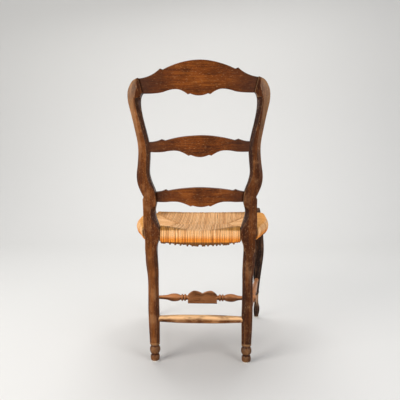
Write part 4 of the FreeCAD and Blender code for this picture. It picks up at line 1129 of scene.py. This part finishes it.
def make_stage():
    """A pale floor that curves up into a pale backdrop in front of the chair."""
    half, turn_at, radius, top, steps = 7.0, -1.6, 1.4, 6.0, 24
    curve = [(half, 0.0), (turn_at, 0.0)]
    for step in range(1, steps + 1):
        angle = math.pi / 2 * step / steps
        curve.append((turn_at - radius * math.sin(angle), radius * (1 - math.cos(angle))))
    curve.append((turn_at - radius, top))
    vertices = [(side * half, y, z) for y, z in curve for side in (-1, 1)]
    faces = [(2 * i, 2 * i + 1, 2 * i + 3, 2 * i + 2) for i in range(len(curve) - 1)]
    mesh = bpy.data.meshes.new("studio_floor")
    mesh.from_pydata(vertices, [], faces)
    mesh.shade_smooth()
    pale = Nodes("studio_floor").finish({"Base Color": (0.74, 0.73, 0.71, 1), "Roughness": 0.85})
    mesh.materials.append(pale)
    add_object("studio_floor", mesh)


def area_light(name, place, target, size, power, color=(1, 1, 1)):
    data = bpy.data.lights.new(name, "AREA")
    data.shape = "RECTANGLE"
    data.size, data.size_y = size
    data.energy = power
    data.color = color
    light = add_object(name, data)
    light.location = place
    light.rotation_euler = (Vector(target) - Vector(place)).to_track_quat("-Z", "Y").to_euler()


def light_studio():
    world = bpy.data.worlds.new("studio")
    world.use_nodes = True
    background = world.node_tree.nodes["Background"]
    background.inputs["Color"].default_value = (0.94, 0.97, 1.0, 1)
    background.inputs["Strength"].default_value = 0.42
    bpy.context.scene.world = world
    bpy.context.scene.view_settings.view_transform = "Standard"
    area_light("key", (2.4, 2.1, 1.3), (0, 0, 0.6), (1.7, 1.7), 80, (1.0, 0.97, 0.93))
    area_light("fill", (-2.0, 2.2, 0.9), (0, 0, 0.7), (1.4, 1.4), 42, (0.97, 0.97, 1.0))
    area_light("front", (0.2, -1.4, 3.0), (0, 0, 0.4), (2.6, 1.8), 55)


def make_camera():
    """A standing viewer's look at the chair's back, a little to one side and down."""
    turn, pitch, roll = math.radians(2.8), math.radians(6.5), math.radians(-0.3)
    distance, height, lens = 1.506, 0.712, 41.85
    level = Vector((math.sin(turn), -math.cos(turn), 0))
    look = level * math.cos(pitch) - Vector((0, 0, 1)) * math.sin(pitch)
    right = level.cross(Vector((0, 0, 1)))
    up = right.cross(look)
    basis = Matrix((right, up, -look)).transposed() @ Matrix.Rotation(roll, 3, "Z")
    data = bpy.data.cameras.new("camera")
    data.lens = lens
    data.sensor_width = 36
    camera = add_object("camera", data)
    place = Vector((0, REAR, 0)) - level * distance
    camera.matrix_world = Matrix.Translation((place.x, place.y, height)) @ basis.to_4x4()
    bpy.context.scene.camera = camera


# ------------------------ the whole scene

WORN = (0.62, 0.36, 0.17)
# Worn tone of the bars, which also paints their highlight on top.
RUBBED_AND_HIGHLIT = (0.60, 0.25, 0.10)
SCRAPED = (0.44, 0.26, 0.15)
# Worn tone of the rear rod, which also paints its highlight on top.
BARE_AND_HIGHLIT = (0.84, 0.50, 0.25)
WALNUT = ((0.016, 0.004, 0.001), (0.080, 0.018, 0.002), (0.20, 0.058, 0.008), WORN)
# The right post's copy of the walnut, darker throughout: painted shade on the side away from the key
# light.
WALNUT_RIGHT_SHADED = ((0.014, 0.003, 0.001), (0.054, 0.012, 0.001), (0.145, 0.040, 0.005), WORN)
WALNUT_SLAT = ((0.024, 0.005, 0.001), (0.122, 0.027, 0.002), (0.25, 0.070, 0.008), WORN)
# The front legs' tones, much darker than the rest: painted shade.
WALNUT_LEG_SHADED = ((0.004, 0.001, 0.001), (0.018, 0.005, 0.001), (0.085, 0.025, 0.005), SCRAPED)
WALNUT_BARS = ((0.014, 0.003, 0.001), (0.085, 0.021, 0.003), (0.22, 0.070, 0.012), RUBBED_AND_HIGHLIT)
WALNUT_ROD = ((0.020, 0.005, 0.001), (0.110, 0.030, 0.005), (0.30, 0.11, 0.025), BARE_AND_HIGHLIT)

post_woods = {
    "left": wood_material("walnut_left_post", WALNUT, specks=0.22),
    "right": wood_material("walnut_right_post_shaded", WALNUT_RIGHT_SHADED, specks=0.22),
}
slat_wood = wood_material("walnut_slats", WALNUT_SLAT, specks=0.2, end_shade=0.7)
leg_wood = wood_material("walnut_front_legs_shaded", WALNUT_LEG_SHADED, specks=0.15, ankle_wear=0.75)
turned_wood = wood_material("walnut_turned", WALNUT_BARS, specks=0.3, gloss=0.3, top_wear_and_highlight=0.9)
rear_rod_wood = wood_material("walnut_rear_rod", WALNUT_ROD, specks=0.3, gloss=0.26, top_wear_and_highlight=1.0)
make_posts(post_woods)
make_slats(slat_wood)
make_front_legs(leg_wood)
make_stretchers(turned_wood, rear_rod_wood)
make_rush(rush_material())
dress_carried_nodes()
make_stage()
light_studio()
make_camera()
